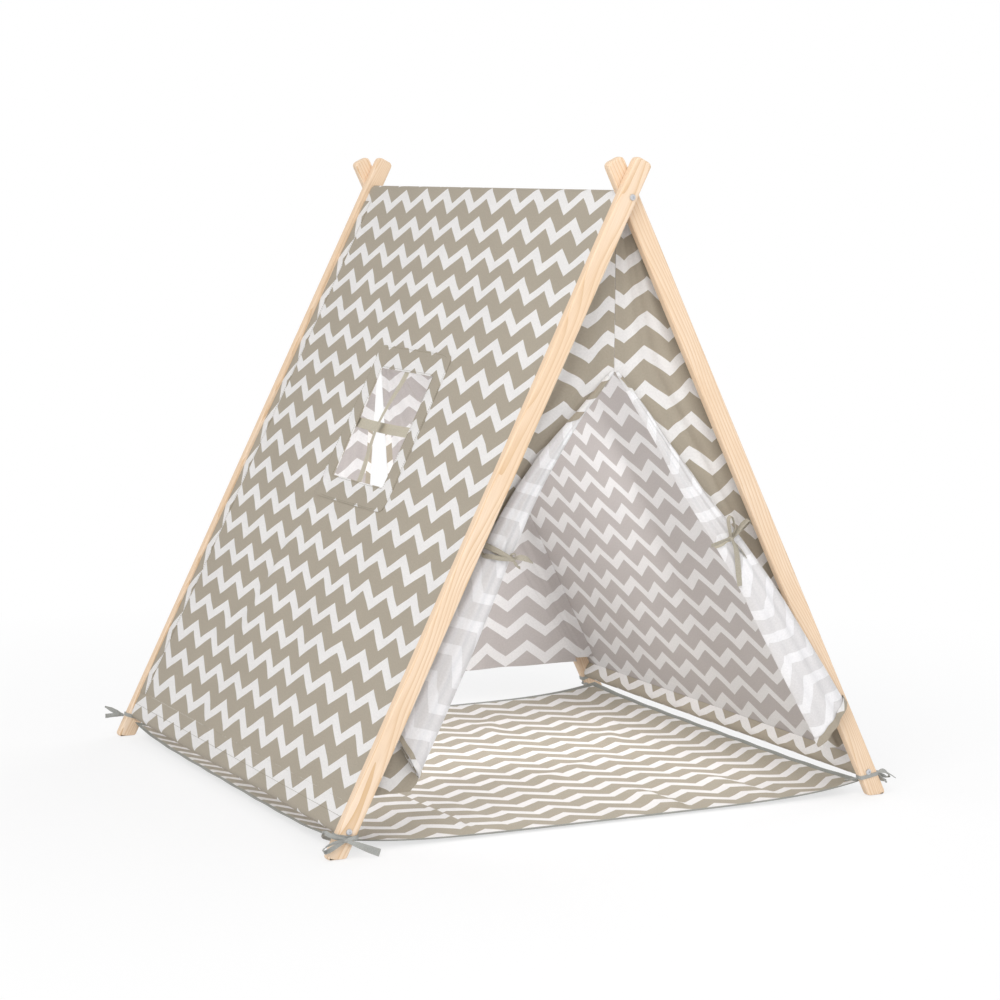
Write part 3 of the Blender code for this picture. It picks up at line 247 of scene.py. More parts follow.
# Furniture bolts and the threaded barrels they bite into. The bolts are zinc plated steel, a soft
# silver that is slightly hazy; the barrels are turned brass.
def plated(name, bright, dull, roughness):
    """Plated or turned metal: cloudy variation of tone and gloss, a few millimetres across."""
    made, tree = new_finish(name)
    place = add(tree, "TexCoord").outputs["Object"]
    cloud = add(tree, "TexNoise", {"Vector": place, "Scale": 420.0, "Detail": 3.0})
    tone = add(tree, "Mix", {0: cloud, 6: colour(bright), 7: colour(dull)}, data_type="RGBA").outputs[2]
    gloss = add(tree, "MapRange", {0: cloud, 3: roughness, 4: roughness + 0.14})
    shader = add(tree, "BsdfPrincipled", {"Base Color": tone, "Roughness": gloss, "Metallic": 1.0})
    add(tree, "OutputMaterial", {"Surface": shader})
    return made


corners = [side + "_" + end for side in ("left", "right") for end in ("front", "rear")]
bolts = ["ridge_bolt_front", "ridge_bolt_rear"] + ["base_bolt_" + corner for corner in corners]
barrels = ["ridge_insert_front", "ridge_insert_rear"] + ["base_insert_" + corner for corner in corners]
give_finish(plated("zinc_plated_steel", "#E4E5E8", "#C3C5C9", 0.30), *bolts)
give_finish(plated("turned_brass", "#D8BC7C", "#B99A5C", 0.34), *barrels)


# Roof slopes. Each is one width of printed cotton canvas, stretched between the ridge rod and its
# base rod; the left one runs on over the ridge. The print is a zigzag of white on taupe, and the
# reverse shows it only as a greyer shade.
zigzag_period = 0.0983
zigzag_height = 0.034
row_pitch = 0.0634
white_share = 0.394
ink_edge = 0.010
thread_spacing = 0.0011
cloth_thickness = 0.001
slope_out = 0.0126
slope_length = 1.19706
inner_end = 0.5525
outer_end = 0.5718
notch = 0.030
window_middle = (-0.029, 0.516)
window_half = (0.120, 0.1185)


def printed_cotton(name, taupe, white, through, weave_depth=0.35):
    """Plain-woven cotton canvas with a zigzag print. The row number is the distance down, less the
    zigzag's height times a triangle wave of the distance across, over the row pitch; a row's first
    part is white. Threads are two crossed waves, drawn about twice as coarse as the real 0.5 mm."""
    made, tree = new_finish(name)
    place = add(tree, "UVMap", uv_map="cut")
    drift = add(tree, "TexNoise", {"Vector": place, "Scale": 11.0, "Detail": 1.0}).outputs["Color"]
    drift = add(tree, "VectorMath", {0: drift, 1: (0.5, 0.5, 0.5)}, operation="SUBTRACT")
    drift = add(tree, "VectorMath", {0: drift, 1: (0.010, 0.009, 0)}, operation="MULTIPLY")
    moved = add(tree, "VectorMath", {0: place, 1: drift}, operation="ADD")
    parts = add(tree, "SeparateXYZ", {0: moved})
    wave = add(tree, "Math", {0: parts, 1: zigzag_period / 2}, operation="PINGPONG")
    drop = add(tree, "Math", {0: wave, 1: 2 * zigzag_height / zigzag_period}, operation="MULTIPLY")
    down = add(tree, "Math", {0: parts.outputs[1], 1: drop}, operation="SUBTRACT")
    row = add(tree, "Math", {0: down, 1: 1 / row_pitch}, operation="MULTIPLY")
    row = add(tree, "Math", {0: row, 1: 0.5 - white_share / 2}, operation="ADD")
    row = add(tree, "Math", {0: row}, operation="FRACT")
    off = add(tree, "Math", {0: row, 1: 0.5}, operation="SUBTRACT")
    off = add(tree, "Math", {0: off}, operation="ABSOLUTE")
    edge = {0: off, 1: white_share / 2 - ink_edge, 2: white_share / 2 + ink_edge}
    ink = add(tree, "MapRange", edge, interpolation_type="SMOOTHSTEP")
    count = (2 * math.pi / thread_spacing,) * 3
    counted = add(tree, "VectorMath", {0: place, 1: count}, operation="MULTIPLY")
    threads = add(tree, "SeparateXYZ", {0: counted})
    warp = add(tree, "Math", {0: threads}, operation="SINE")
    weft = add(tree, "Math", {0: threads.outputs[1]}, operation="SINE")
    weave = add(tree, "Math", {0: warp, 1: weft}, operation="ADD")
    slub = add(tree, "TexNoise", {"Vector": place, "Scale": 260.0, "Detail": 2.0})
    cloud = add(tree, "TexNoise", {"Vector": place, "Scale": 6.0, "Detail": 2.0})
    tone = add(tree, "Mix", {0: ink, 6: colour(white), 7: colour(taupe)}, data_type="RGBA").outputs[2]
    shade = add(tree, "MapRange", {0: slub, 1: 0.3, 2: 0.7, 3: 0.955, 4: 1.035})
    wide = add(tree, "MapRange", {0: cloud, 1: 0.3, 2: 0.7, 3: 0.98, 4: 1.02})
    grain = add(tree, "MapRange", {0: weave, 1: -2.0, 2: 2.0, 3: 0.968, 4: 1.022})
    shade = add(tree, "Math", {0: shade, 1: wide}, operation="MULTIPLY")
    shade = add(tree, "Math", {0: shade, 1: grain}, operation="MULTIPLY")
    tone = add(tree, "VectorMath", {0: tone, 3: shade}, operation="SCALE")
    relief = add(tree, "Math", {0: weave, 1: slub}, operation="ADD")
    bump = add(tree, "Bump", {"Strength": weave_depth, "Distance": 0.0003, "Height": relief})
    surface = {"Base Color": tone, "Roughness": 0.88, "Normal": bump, "Specular IOR Level": 0.25}
    face = add(tree, "BsdfPrincipled", {**surface, "Sheen Weight": 0.12, "Sheen Roughness": 0.5})
    glow = add(tree, "BsdfTranslucent", {"Color": tone})
    both = add(tree, "MixShader", {0: through, 1: face, 2: glow})
    add(tree, "OutputMaterial", {"Surface": both})
    return made


cover_print = printed_cotton("printed_cotton_face", "#B6AC9B", "#F6F4F2", 0.13)
cover_reverse = printed_cotton("printed_cotton_reverse", "#C2BCBA", "#EBEAEA", 0.13)


def marks(breaks, step):
    """Values that run through every break with steps of about the given size."""
    pairs = zip(breaks, breaks[1:])
    parts = [np.linspace(a, b, max(1, round((b - a) / step)), endpoint=False) for a, b in pairs]
    return np.concatenate(parts + [[breaks[-1]]])


def joined(*parts):
    """One array of points from coordinates that stretch to each other's shape."""
    return np.stack(np.broadcast_arrays(*parts), -1)


def cut_sheet(name, points, cut, outward, kept=None, closed=False):
    """Makes a piece from a grid of points. Each cell is a quad, wound so that its normal, the cross
    product of the two steps of the grid, lies on the outward side; cut gives each point's place on
    the flat cloth. A closed grid's last column is its first. Edges with one face are kept sharp, so
    that a sheet's rim doesn't shade into its faces."""
    points = np.asarray(points, float)
    rows, columns = points.shape[:2]
    held = columns - 1 if closed else columns
    index = np.arange(rows * held).reshape(rows, held)
    if closed:
        index = np.hstack([index, index[:, :1]])
    flat = np.arange(rows * columns).reshape(rows, columns)
    cells = [np.stack([a[:-1, :-1], a[:-1, 1:], a[1:, 1:], a[1:, :-1]], -1) for a in (index, flat)]
    normal = np.cross(points[:-1, 1:] - points[:-1, :-1], points[1:, :-1] - points[:-1, :-1])
    if (normal * outward).sum() < 0:
        cells = [a[..., ::-1] for a in cells]
    if kept is not None:
        cells = [a[kept] for a in cells]
    quads, places = (a.reshape(-1, 4) for a in cells)
    used = np.unique(quads)
    renumbered = np.full(rows * held, -1)
    renumbered[used] = np.arange(len(used))
    mesh = bpy.data.meshes.new(name)
    mesh.from_pydata(points[:, :held].reshape(-1, 3)[used].tolist(), [], renumbered[quads].tolist())
    layer = mesh.uv_layers.new(name="cut")
    layer.data.foreach_set("uv", np.asarray(cut, float).reshape(-1, 2)[places.ravel()].ravel())
    mesh.shade_smooth()
    edge_of_loop = np.empty(len(mesh.loops), np.int32)
    mesh.loops.foreach_get("edge_index", edge_of_loop)
    rim = np.bincount(edge_of_loop, minlength=len(mesh.edges)) == 1
    sharp = mesh.attributes.get("sharp_edge") or mesh.attributes.new("sharp_edge", "BOOLEAN", "EDGE")
    sharp.data.foreach_set("value", rim)
    item = bpy.data.objects.new(name, mesh)
    bpy.context.scene.collection.objects.link(item)
    return item


def dress(item, materials, thickness, offset=-1):
    """Gives a sheet its finishes and its thickness, which grows away from the outward side unless
    the offset is nought; a second finish goes on that other side."""
    for material in materials:
        item.data.materials.append(material)
    wall = item.modifiers.new("thickness", "SOLIDIFY")
    wall.thickness = thickness
    wall.offset = offset
    wall.material_offset = len(materials) - 1
    return item


def on_slope(side, along, down, out):
    """Points of a roof slope: down the line between the rods from the ridge, out square to it."""
    x = side * (down * math.sin(lean) + out * math.cos(lean))
    z = ridge_height - down * math.cos(lean) + out * math.sin(lean)
    return joined(x, along, z)


def slope_normal(side):
    """The way that a slope's outer face looks."""
    return np.array([side * math.cos(lean), 0, math.sin(lean)])


def eased(share):
    """A share from nought to one with a soft start and end: three of its squares less two cubes."""
    return share * share * (3 - 2 * share)


def about_line(x, y, start, end):
    """Where points lie about a line: their share of its length, and how far they are beside it."""
    line = np.subtract(end, start)
    reach = ((x - start[0]) * line[0] + (y - start[1]) * line[1]) / (line @ line)
    away = ((x - start[0]) * line[1] - (y - start[1]) * line[0]) / math.hypot(*line)
    return reach, away


def slack(along, down, creases):
    """Height of a slope's soft waves: two crossed slow sine waves plus creases, each a Gaussian ridge
    about a line, all fading to nothing at the ridge, the hem and both ends."""
    fade = np.clip(down / 0.10, 0, 1) * np.clip((slope_length - down) / 0.05, 0, 1)
    fade = eased(fade * np.clip((inner_end - np.abs(along)) / 0.06, 0, 1))
    height = 0.0020 * np.sin(7.9 * along + 2.7 * down + 0.6) * np.sin(6.6 * down - 2.2 * along + 1.1)
    height = height + 0.0010 * np.sin(19.0 * along - 9.5 * down + 2.0) * np.sin(8.3 * down + 0.4)
    for start, end, width, rise in creases:
        reach, away = about_line(along, down, start, end)
        ends = np.exp(-np.clip(np.abs(reach - 0.5) - 0.35, 0, None) ** 2 / 0.02)
        height = height + rise * np.exp(-((away / width) ** 2)) * ends
    return height * fade


left_creases = (
    ((0.105, 0.60), (0.200, 1.02), 0.016, 0.0020),
    ((0.125, 0.60), (0.235, 1.00), 0.014, -0.0016),
    ((0.100, 0.38), (0.330, 0.20), 0.018, 0.0014),
    ((-0.170, 0.64), (-0.330, 0.95), 0.018, 0.0015),
    ((-0.420, 0.10), (-0.250, 0.34), 0.020, 0.0013),
    ((0.400, 0.20), (0.470, 0.72), 0.018, 0.0014),
    ((-0.500, 0.55), (-0.420, 0.95), 0.016, -0.0015),
    ((0.020, 0.68), (0.050, 1.05), 0.018, 0.0012),
)
right_creases = (
    ((-0.410, 0.18), (-0.360, 0.80), 0.020, 0.0016),
    ((0.150, 0.10), (0.050, 0.62), 0.020, -0.0014),
    ((0.380, 0.30), (0.300, 0.98), 0.018, 0.0016),
    ((-0.120, 0.60), (-0.020, 1.08), 0.020, 0.0014),
)


def print_place(along, down, lay):
    """Where a point lies on the printed width, from the place where a zigzag row's top edge peaks.
    The pieces were cut slightly askew: each direction has a start and two small slopes, taken off
    the distance along and the distance down."""
    across_print = along - lay[0][0] - lay[0][1] * along - lay[0][2] * down
    down_print = down - lay[1][0] - lay[1][1] * along - lay[1][2] * down
    return joined(across_print, down_print)


def slope_sheet(name, side, creases, lay):
    """A roof slope on a grid of distances along and down. The left slope goes on round the rod, as
    an arc from its own side to the other."""
    ends = (-outer_end, -inner_end, inner_end) if side < 0 else (-inner_end, inner_end, outer_end)
    window_ends = (window_middle[0] - window_half[0], window_middle[0] + window_half[0])
    along = marks((*ends[:2], *window_ends, ends[2]) if side < 0 else ends, 0.012)
    window_rows = (window_middle[1] - window_half[1], window_middle[1] + window_half[1])
    down = marks((0, notch, *window_rows, slope_length), 0.012)
    grid_along, grid_down = np.meshgrid(along, down)
    points = on_slope(side, grid_along, grid_down, slope_out + slack(grid_along, grid_down, creases))
    turn = np.linspace(math.pi - 2 * lean, 0, 9)[:-1] if side < 0 else np.zeros(0)
    angle = math.pi - lean - turn[:, None]
    over = joined(slope_out * np.cos(angle), along[None, :], ridge_height + slope_out * np.sin(angle))
    points = np.concatenate([over, points])
    down = np.concatenate([-slope_out * turn, down])
    grid_along, grid_down = np.meshgrid(along, down)
    cell_along = (along[1:] + along[:-1]) / 2
    cell_down = ((down[1:] + down[:-1]) / 2)[:, None]
    cut_back = (cell_along < -inner_end if side < 0 else cell_along > inner_end) & (cell_down < notch)
    kept = ~cut_back
    if side < 0:
        inside = np.abs(cell_along - window_middle[0]) < window_half[0]
        kept = kept & ~(inside & (np.abs(cell_down - window_middle[1]) < window_half[1]))
    item = cut_sheet(name, points, print_place(grid_along, grid_down, lay), slope_normal(side), kept)
    dress(item, (cover_print, cover_reverse), cloth_thickness)
    return item


left_lay = ((-0.0343, 0.015, -0.040), (-0.0073, 0.015, -0.005))
right_lay = ((0.0079, 0.055, 0.030), (0.0145, 0.005, 0.015))
sides = (("left", -1, left_creases, left_lay), ("right", 1, right_creases, right_lay))
for word, side, creases, lay in sides:
    slope = slope_sheet("slope_" + word, side, creases, lay)
    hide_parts("roof_panel_" + word)
    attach(slope, "frame_" + word)


# Ridge sleeve: a tunnel of the same cotton, sewn along the inside of the ridge, through which the
# ridge rod is pushed. It is slightly puckered by its seam.
sleeve_out = 0.0113


def ridge_tunnel():
    """A tube about the rod: a circle whose radius is less by a small pucker, from end to end."""
    along = np.linspace(-inner_end, inner_end, 120)[:, None]
    angle = np.linspace(0, 2 * math.pi, 33)[None, :]
    pucker = 0.00015 * np.sin(along * 240 + 3 * np.sin(angle)) * np.clip(-np.sin(angle), 0, 1)
    radius = sleeve_out - np.abs(pucker)
    points = joined(radius * np.cos(angle), along, ridge_height + radius * np.sin(angle))
    outward = points[:-1, :-1] - np.array([0, 0, ridge_height])
    outward[..., 1] = 0
    cut = print_place(along, angle * sleeve_out, left_lay)
    item = dress(cut_sheet("ridge_tunnel", points, cut, outward, closed=True),
                 (cover_print, cover_reverse), cloth_thickness)
    return item


tunnel = ridge_tunnel()
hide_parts("ridge_sleeve")
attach(tunnel, "frame_left")


# Base hems: the foot of each slope is turned in round the base rod and sewn to itself just above
# it, with one row of stitches.
hem_height = 0.045
hem_turn_height = 0.021
hem_fullness = 0.0315
seam_inset = 0.0030
stitched_outer, stitched_inner = 0.569, 0.5495
stitch_pitch = 0.0046
stitch_length = 0.0030
stitch_width = 0.0008
hem_thread_lift = 0.0001


def run_along(route):
    """The distance covered at each point of a route, or of each row of a grid."""
    steps = np.linalg.norm(np.diff(route, axis=-2), axis=-1)
    return np.concatenate([np.zeros(steps.shape[:-1] + (1,)), np.cumsum(steps, axis=-1)], -1)


def unit(vectors):
    """Vectors cut or stretched to a length of one."""
    return vectors / np.linalg.norm(vectors, axis=-1, keepdims=True)


def base_hem(name, side, lay):
    """The hem's path seen from the end: straight down the slope's face, round the rod on a circle,
    and straight up to the turned edge from the point where that line touches the circle. Under the
    rod the print runs on faster than the path, since the real hem holds a little more cloth."""
    seam = np.array([slope_out - 2 * cloth_thickness, hem_turn_height])
    touch = math.atan2(seam[1], seam[0]) + math.acos(slope_out / math.hypot(*seam))
    angle = np.linspace(0, touch - 2 * math.pi, 25)
    ring = slope_out * np.stack([np.cos(angle), np.sin(angle)], -1)
    front = np.linspace((slope_out, hem_height), (slope_out, 0), 5)[:-1]
    back = np.linspace(ring[-1], seam, 6)[1:]
    path = np.concatenate([front, ring, back])
    run = run_along(path)
    ends = (-outer_end, inner_end) if side < 0 else (-inner_end, outer_end)
    along = np.linspace(*ends, 110)[None, :]
    low = np.clip(1 - path[:, 1:] / 0.02, 0, 1)
    ripple = 0.0006 * np.sin(along * 31 + 0.7) * np.sin(along * 13) * low
    out = path[:, :1] * (1 + ripple / slope_out)
    points = on_slope(side, along, rod_line_length - path[:, 1:], out)
    full = hem_fullness * np.clip((run - hem_height - 0.020) / 0.030, 0, 1)
    cut = print_place(along, (run + full)[:, None] + rod_line_length - hem_height, lay)
    outward = points[:-1, :-1] - on_slope(side, 0.0, rod_line_length, 0.0)
    outward[..., 1] = 0
    outward[: len(front)] = slope_normal(side)
    outward[-len(back) :] = -slope_normal(side)
    item = dress(cut_sheet(name, points, cut, outward), (cover_print, cover_reverse), cloth_thickness)
    return item


def cotton_thread(name, shade):
    """Spun polyester-cotton sewing thread: matt, its fine twist as flecks of painted highlight and shade."""
    made, tree = new_finish(name)
    place = add(tree, "TexCoord").outputs["Object"]
    twist = add(tree, "TexNoise", {"Vector": place, "Scale": 900.0, "Detail": 1.0})
    # Painted highlight and shade of the twist: the tone rises and falls in small flecks.
    tone = add(tree, "MapRange", {0: twist, 1: 0.3, 2: 0.7, 3: 0.86, 4: 1.08})
    dyed = add(tree, "VectorMath", {0: colour(shade)[:3], 3: tone}, operation="SCALE")
    shader = add(tree, "BsdfPrincipled", {"Base Color": dyed, "Roughness": 0.8})
    add(tree, "OutputMaterial", {"Surface": shader})
    return made


taupe_thread = cotton_thread("taupe_thread", "#8F8775")


def stitch_row(name, route, normal_way, body):
    """A row of stitches: the route is cut into equal steps, and each step carries a low bar, six
    sided in section, laid along it on the cloth."""
    run = run_along(route)
    middles = np.arange(stitch_pitch / 2, run[-1], stitch_pitch)
    read = lambda at: np.stack([np.interp(at, run, route[:, k]) for k in range(3)], -1)
    ahead_of = read(np.clip(middles + stitch_length / 2, 0, run[-1]))
    behind = read(np.clip(middles - stitch_length / 2, 0, run[-1]))
    side_way = unit(np.cross(ahead_of - behind, normal_way)) * stitch_width / 2
    angle = np.linspace(0, 2 * math.pi, 6, endpoint=False)[None, :, None]
    ring = side_way[:, None] * np.cos(angle) + normal_way * np.sin(angle) * stitch_width / 3
    behind, ahead_of = behind[:, None], ahead_of[:, None]
    rings = [behind + 0.5 * ring, 0.75 * behind + 0.25 * ahead_of + ring,
             0.25 * behind + 0.75 * ahead_of + ring, ahead_of + 0.5 * ring]
    start = 24 * np.arange(len(middles))[:, None, None]
    band = start + 6 * np.arange(3)[None, :, None]
    k = np.arange(6)[None, None, :]
    near = (k + 1) % 6
    quads = joined(band + k, band + near, band + near + 6, band + k + 6)
    caps = np.concatenate([start[:, 0] + np.arange(5, -1, -1), start[:, 0] + 18 + np.arange(6)])
    mesh = bpy.data.meshes.new(name)
    faces = quads.reshape(-1, 4).tolist() + caps.tolist()
    mesh.from_pydata(np.stack(rings, 1).reshape(-1, 3).tolist(), [], faces)
    mesh.materials.append(taupe_thread)
    mesh.shade_smooth()
    item = bpy.data.objects.new(name, mesh)
    bpy.context.scene.collection.objects.link(item)
    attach(item, body)


for word, side, creases, lay in sides:
    hem = base_hem("base_hem_" + word, side, lay)
    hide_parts("base_sleeve_" + word)
    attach(hem, "frame_" + word)

for word, side, creases, lay in sides:
    ends = (-stitched_outer, stitched_inner) if side < 0 else (-stitched_inner, stitched_outer)
    down = rod_line_length - hem_turn_height + seam_inset
    route = on_slope(side, np.linspace(*ends, 60), down, slope_out + hem_thread_lift)
    stitch_row("hem_stitches_" + word, route, slope_normal(side), "frame_" + word)


# Rear edge bands: strips of the same cotton, cut the other way, sewn over the raw rear edge of
# each slope along both their sides.
band_width = 0.032
band_lift = 0.0011
band_thread_lift = 0.0013
band_gap_above = 0.0003
trim_thickness = 0.0008


def edge_band(word, side, creases):
    """A strip on the slope's face, with the print turned a quarter."""
    end = inner_end if side < 0 else outer_end
    along = np.linspace(end - band_width, end, 7)
    grid_along, grid_down = np.meshgrid(along, np.linspace(notch + band_gap_above, slope_length, 100))
    arch = np.sin(np.pi * (grid_along - along[0]) / band_width)
    puff = (0.0005 + 0.00025 * np.sin(grid_down * 190)) * arch
    out = slope_out + band_lift + puff + slack(grid_along, grid_down, creases)
    cut = joined(grid_down - 0.02, grid_along + 0.012)
    points = on_slope(side, grid_along, grid_down, out)
    item = cut_sheet("rear_band_" + word, points, cut, slope_normal(side))
    dress(item, (cover_print,), trim_thickness)
    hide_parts("rear_edge_band_" + word)
    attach(item, "frame_" + word)
    down = np.linspace(notch + seam_inset, slope_length - 0.002, 80)
    seam = np.full_like(down, end - band_width + 0.002)
    route = on_slope(side, seam, down, slope_out + band_thread_lift + slack(seam, down, creases))
    stitch_row("band_stitches_" + word, route, slope_normal(side), "frame_" + word)


for word, side, creases, lay in sides:
    edge_band(word, side, creases)


# Window: a square opening in the left slope behind a sewn facing of the same cotton, crossed by
# two lengths of taupe tape on the inside. The upright tape has twisted, the level one is doubled.
facing_margin = 0.049
facing_rounding = 0.035
facing_lift = 0.0012
facing_thread_lift = 0.00155
tape_width = 0.024
level_tape_width = 0.021
tape_lap = 0.014
rib_spacing = 0.0012


def window_facing():
    """A square frame on the slope's face: its outer edge is rounded at the corners by drawing the
    grid's corner points in, and it rises a little between its two stitched edges."""
    reach = [half + facing_margin for half in window_half]
    along = marks((-reach[0], -window_half[0], window_half[0], reach[0]), 0.008)
    down = marks((-reach[1], -window_half[1], window_half[1], reach[1]), 0.008)
    grid_along, grid_down = np.meshgrid(along, down)
    drawn_in = 1 - facing_rounding * np.abs(grid_along * grid_down / (reach[0] * reach[1])) ** 14
    from_middle = (grid_along * drawn_in, grid_down * drawn_in)
    grid_along, grid_down = (middle + a for middle, a in zip(window_middle, from_middle))
    away = np.maximum(*(np.abs(a) - half for a, half in zip(from_middle, window_half)))
    arch = np.sin(np.pi * np.clip(away / facing_margin, 0, 1))
    puff = (0.0012 + 0.0005 * np.sin(grid_along * 160 + grid_down * 70)) * arch
    out = slope_out + facing_lift + np.abs(puff) + slack(grid_along, grid_down, left_creases)
    points = on_slope(-1, grid_along, grid_down, out)
    cut = print_place(grid_along + 0.006, grid_down + 0.009, left_lay)
    inside_along = np.abs((along[1:] + along[:-1]) / 2) < window_half[0]
    inside_down = np.abs((down[1:] + down[:-1]) / 2)[:, None] < window_half[1]
    item = cut_sheet("window_surround", points, cut, slope_normal(-1), ~(inside_along & inside_down))
    dress(item, (cover_print,), trim_thickness)
    return item


surround = window_facing()
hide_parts("window_facing")
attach(surround, "frame_left")

# Two rows of stitches, each a square drawn as a superellipse: a high power gives sharp corners.
turn = np.linspace(0, 2 * math.pi, 241)
for word, inset, power in (("outer", facing_margin - seam_inset, 10), ("inner", seam_inset, 40)):
    spread = (np.abs(np.cos(turn)) ** power + np.abs(np.sin(turn)) ** power) ** (-1 / power)
    along = window_middle[0] + (window_half[0] + inset) * spread * np.cos(turn)
    down = window_middle[1] + (window_half[1] + inset) * spread * np.sin(turn)
    out = slope_out + facing_thread_lift + slack(along, down, left_creases)
    route = on_slope(-1, along, down, out)
    stitch_row("window_stitches_" + word, route, slope_normal(-1), "frame_left")


def herringbone_tape(name, shade, rib_shade):
    """Woven cotton tape: slanting ribs that meet along the middle, about 1.2 mm apart, and soft
    wear. The ribs mix the tape's colour with a darker one, which is painted shade for the grooves
    between ribs and for the tape's crumples. It reads the tape's own map, across and along, in
    metres."""
    made, tree = new_finish(name)
    place = add(tree, "UVMap", uv_map="cut")
    parts = add(tree, "SeparateXYZ", {0: place})
    away = add(tree, "Math", {0: parts}, operation="ABSOLUTE")
    slant = add(tree, "Math", {0: away, 1: parts.outputs[1]}, operation="ADD")
    rib = add(tree, "Math", {0: slant, 1: 2 * math.pi / rib_spacing}, operation="MULTIPLY")
    rib = add(tree, "Math", {0: rib}, operation="SINE")
    fray = add(tree, "TexNoise", {"Vector": place, "Scale": 380.0, "Detail": 2.0})
    tone = add(tree, "MapRange", {0: rib, 1: -1.0, 2: 1.0, 3: 0.15, 4: 0.95})
    tone = add(tree, "Math", {0: tone, 1: fray}, operation="MULTIPLY")
    # The darker colour that the ribs mix in is painted shade.
    dyed = add(tree, "Mix", {0: tone, 6: colour(shade), 7: colour(rib_shade)}, data_type="RGBA").outputs[2]
    relief = add(tree, "Math", {0: rib, 1: fray}, operation="ADD")
    bump = add(tree, "Bump", {"Strength": 0.5, "Distance": 0.0003, "Height": relief})
    surface = {"Base Color": dyed, "Roughness": 0.82, "Normal": bump, "Specular IOR Level": 0.25}
    shader = add(tree, "BsdfPrincipled", {**surface, "Sheen Weight": 0.1})
    add(tree, "OutputMaterial", {"Surface": shader})
    return made


# Each tape's second, darker colour is painted shade in its ribs and crumples.
taupe_tape = herringbone_tape("taupe_cotton_tape", "#D3CBB8", "#9E9682")


def cupped(height, steps=5):
    """Heights across a strip whose middle stands up: one less the square of the way to an edge."""
    return height * (1 - np.linspace(-1, 1, steps) ** 2)


def ribbon(name, route, sideways, width, thickness, finish, heights):
    """A flat strip carried along a route: at each point it reaches half its width to both sides,
    and the heights across it are laid off square to both the route and its width."""
    sideways = np.broadcast_to(unit(sideways), route.shape)
    lift = unit(np.cross(np.gradient(route, axis=0), sideways))
    share = np.linspace(-1, 1, len(heights))[None, :, None]
    width = np.broadcast_to(width, len(route))[:, None, None]
    points = route[:, None] + sideways[:, None] * share * width / 2 + lift[:, None] * heights[:, None]
    cut = joined(share[..., 0] * width[..., 0] / 2, run_along(route)[:, None])
    return dress(cut_sheet(name, points, cut, lift[:-1, None]), (finish,), thickness, 0)


def window_tape(name, node, *strip):
    """A tape of the window, in place of the CAD's."""
    item = ribbon(name, *strip)
    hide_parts(node)
    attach(item, "frame_left")


share = np.linspace(0, 1, 40)
arch = np.sin(np.pi * share)
level_reach = (2 * share - 1) * (window_half[0] + tape_lap)
level_route = on_slope(-1, window_middle[0] + level_reach, window_middle[1] + 0.0020 * arch, 0.0075)
down_way = np.array([-math.sin(lean), 0, -math.cos(lean)])
doubled = cupped(0.0006, 9) - 0.0008 * (np.abs(np.linspace(-1, 1, 9)) < 0.2)
level_strip = (level_route, down_way, level_tape_width, 0.0011, taupe_tape, doubled)
window_tape("window_tape_level", "window_tape_across", *level_strip)
upright_reach = (2 * share - 1) * (window_half[1] + tape_lap)
twist = -np.radians(4 + 11 * np.exp(-(((share - 0.5) / 0.22) ** 2)))[:, None]
upright_side = np.cos(twist) * np.array([0, 1, 0]) + np.sin(twist) * slope_normal(-1)
upright_along = window_middle[0] + 0.004 - 0.006 * share
upright_route = on_slope(-1, upright_along, window_middle[1] + upright_reach, 0.0098 + 0.0125 * arch**2)
upright_width = tape_width * (1 - 0.10 * arch)
upright_strip = (upright_route, upright_side, upright_width, 0.001, taupe_tape, cupped(0.0008))
window_tape("window_tape_upright", "window_tape_upright", *upright_strip)


# Gables: two halves at each end, seamed above the door's apex and sewn to the slopes. They hang
# in soft upright folds.
gable_plane = 0.532
gable_bottom = 0.0935
fold_depth = 0.004
seam_gap = 0.0006
door_apex = 0.840
door_foot = 0.500
cover_bottom = 0.085
slope_inner_face = slope_out - cloth_thickness


def half_roof(height):
    """Half the width between the slopes' inner faces at a height."""
    return (ridge_height - height) * math.tan(lean) + slope_inner_face / math.cos(lean)


def rear_fold(height):
    """Half the rear doorway's width at a height."""
    return door_foot * (door_apex - height) / (door_apex - cover_bottom)


def crumple(item):
    """Gives a soft piece its own copy of its mesh."""
    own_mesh(item)


def gable_sheet(end, word, side, fold, peak, depth):
    """Half a gable: rows between the seam with the slope and the door's fold line or the middle
    seam. Its depth is the gable's plane plus folds, whose size is a sine from edge to edge. Above
    the door the rear gable's middle seam is almost shut."""
    top = ridge_height - sleeve_out - seam_gap
    height = marks((gable_bottom, door_apex, top), 0.014)[:, None]
    part = np.linspace(0, 1, 44)[None, :]
    way = 1 if end == "rear" else -1
    seam = seam_gap * (np.clip((door_apex - height) / 0.02 + 0.2, 0.2, 1) if way > 0 else 1)
    inner = seam + fold(np.minimum(height, door_apex))
    outer = half_roof(height) - seam_gap
    x = side * (outer + (inner - outer) * part)
    span = np.clip((outer - inner) / 0.16, 0.15, 1)
    waves = 0.75 * np.sin(4 * np.pi * part + 1.3 * np.sin(4.0 * height)) + 0.25 * np.sin(9 * np.pi * part)
    y = way * (gable_plane + depth * 0.95 * np.sin(np.pi * part) * waves * span)
    drawn = x + side * 0.004 * np.sin(4 * np.pi * part) * span
    cut = joined(drawn - peak[0], peak[1] - height)
    item = cut_sheet(end + "_wall_" + word, joined(x, y, height), cut, np.array([0, way, 0]))
    dress(item, (cover_print, cover_reverse), cloth_thickness)
    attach(item, "frame_" + word)
    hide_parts(end + "_gable_" + word)
    crumple(item)


rear_peaks = {"left": (-0.050, 1.023), "right": (0.073, 1.032)}
for word, side, creases, lay in sides:
    lapped = lambda height: np.maximum(0, rear_fold(height) - 2 * seam_gap)
    gable_sheet("rear", word, side, lapped, rear_peaks[word], 0.45 * fold_depth)
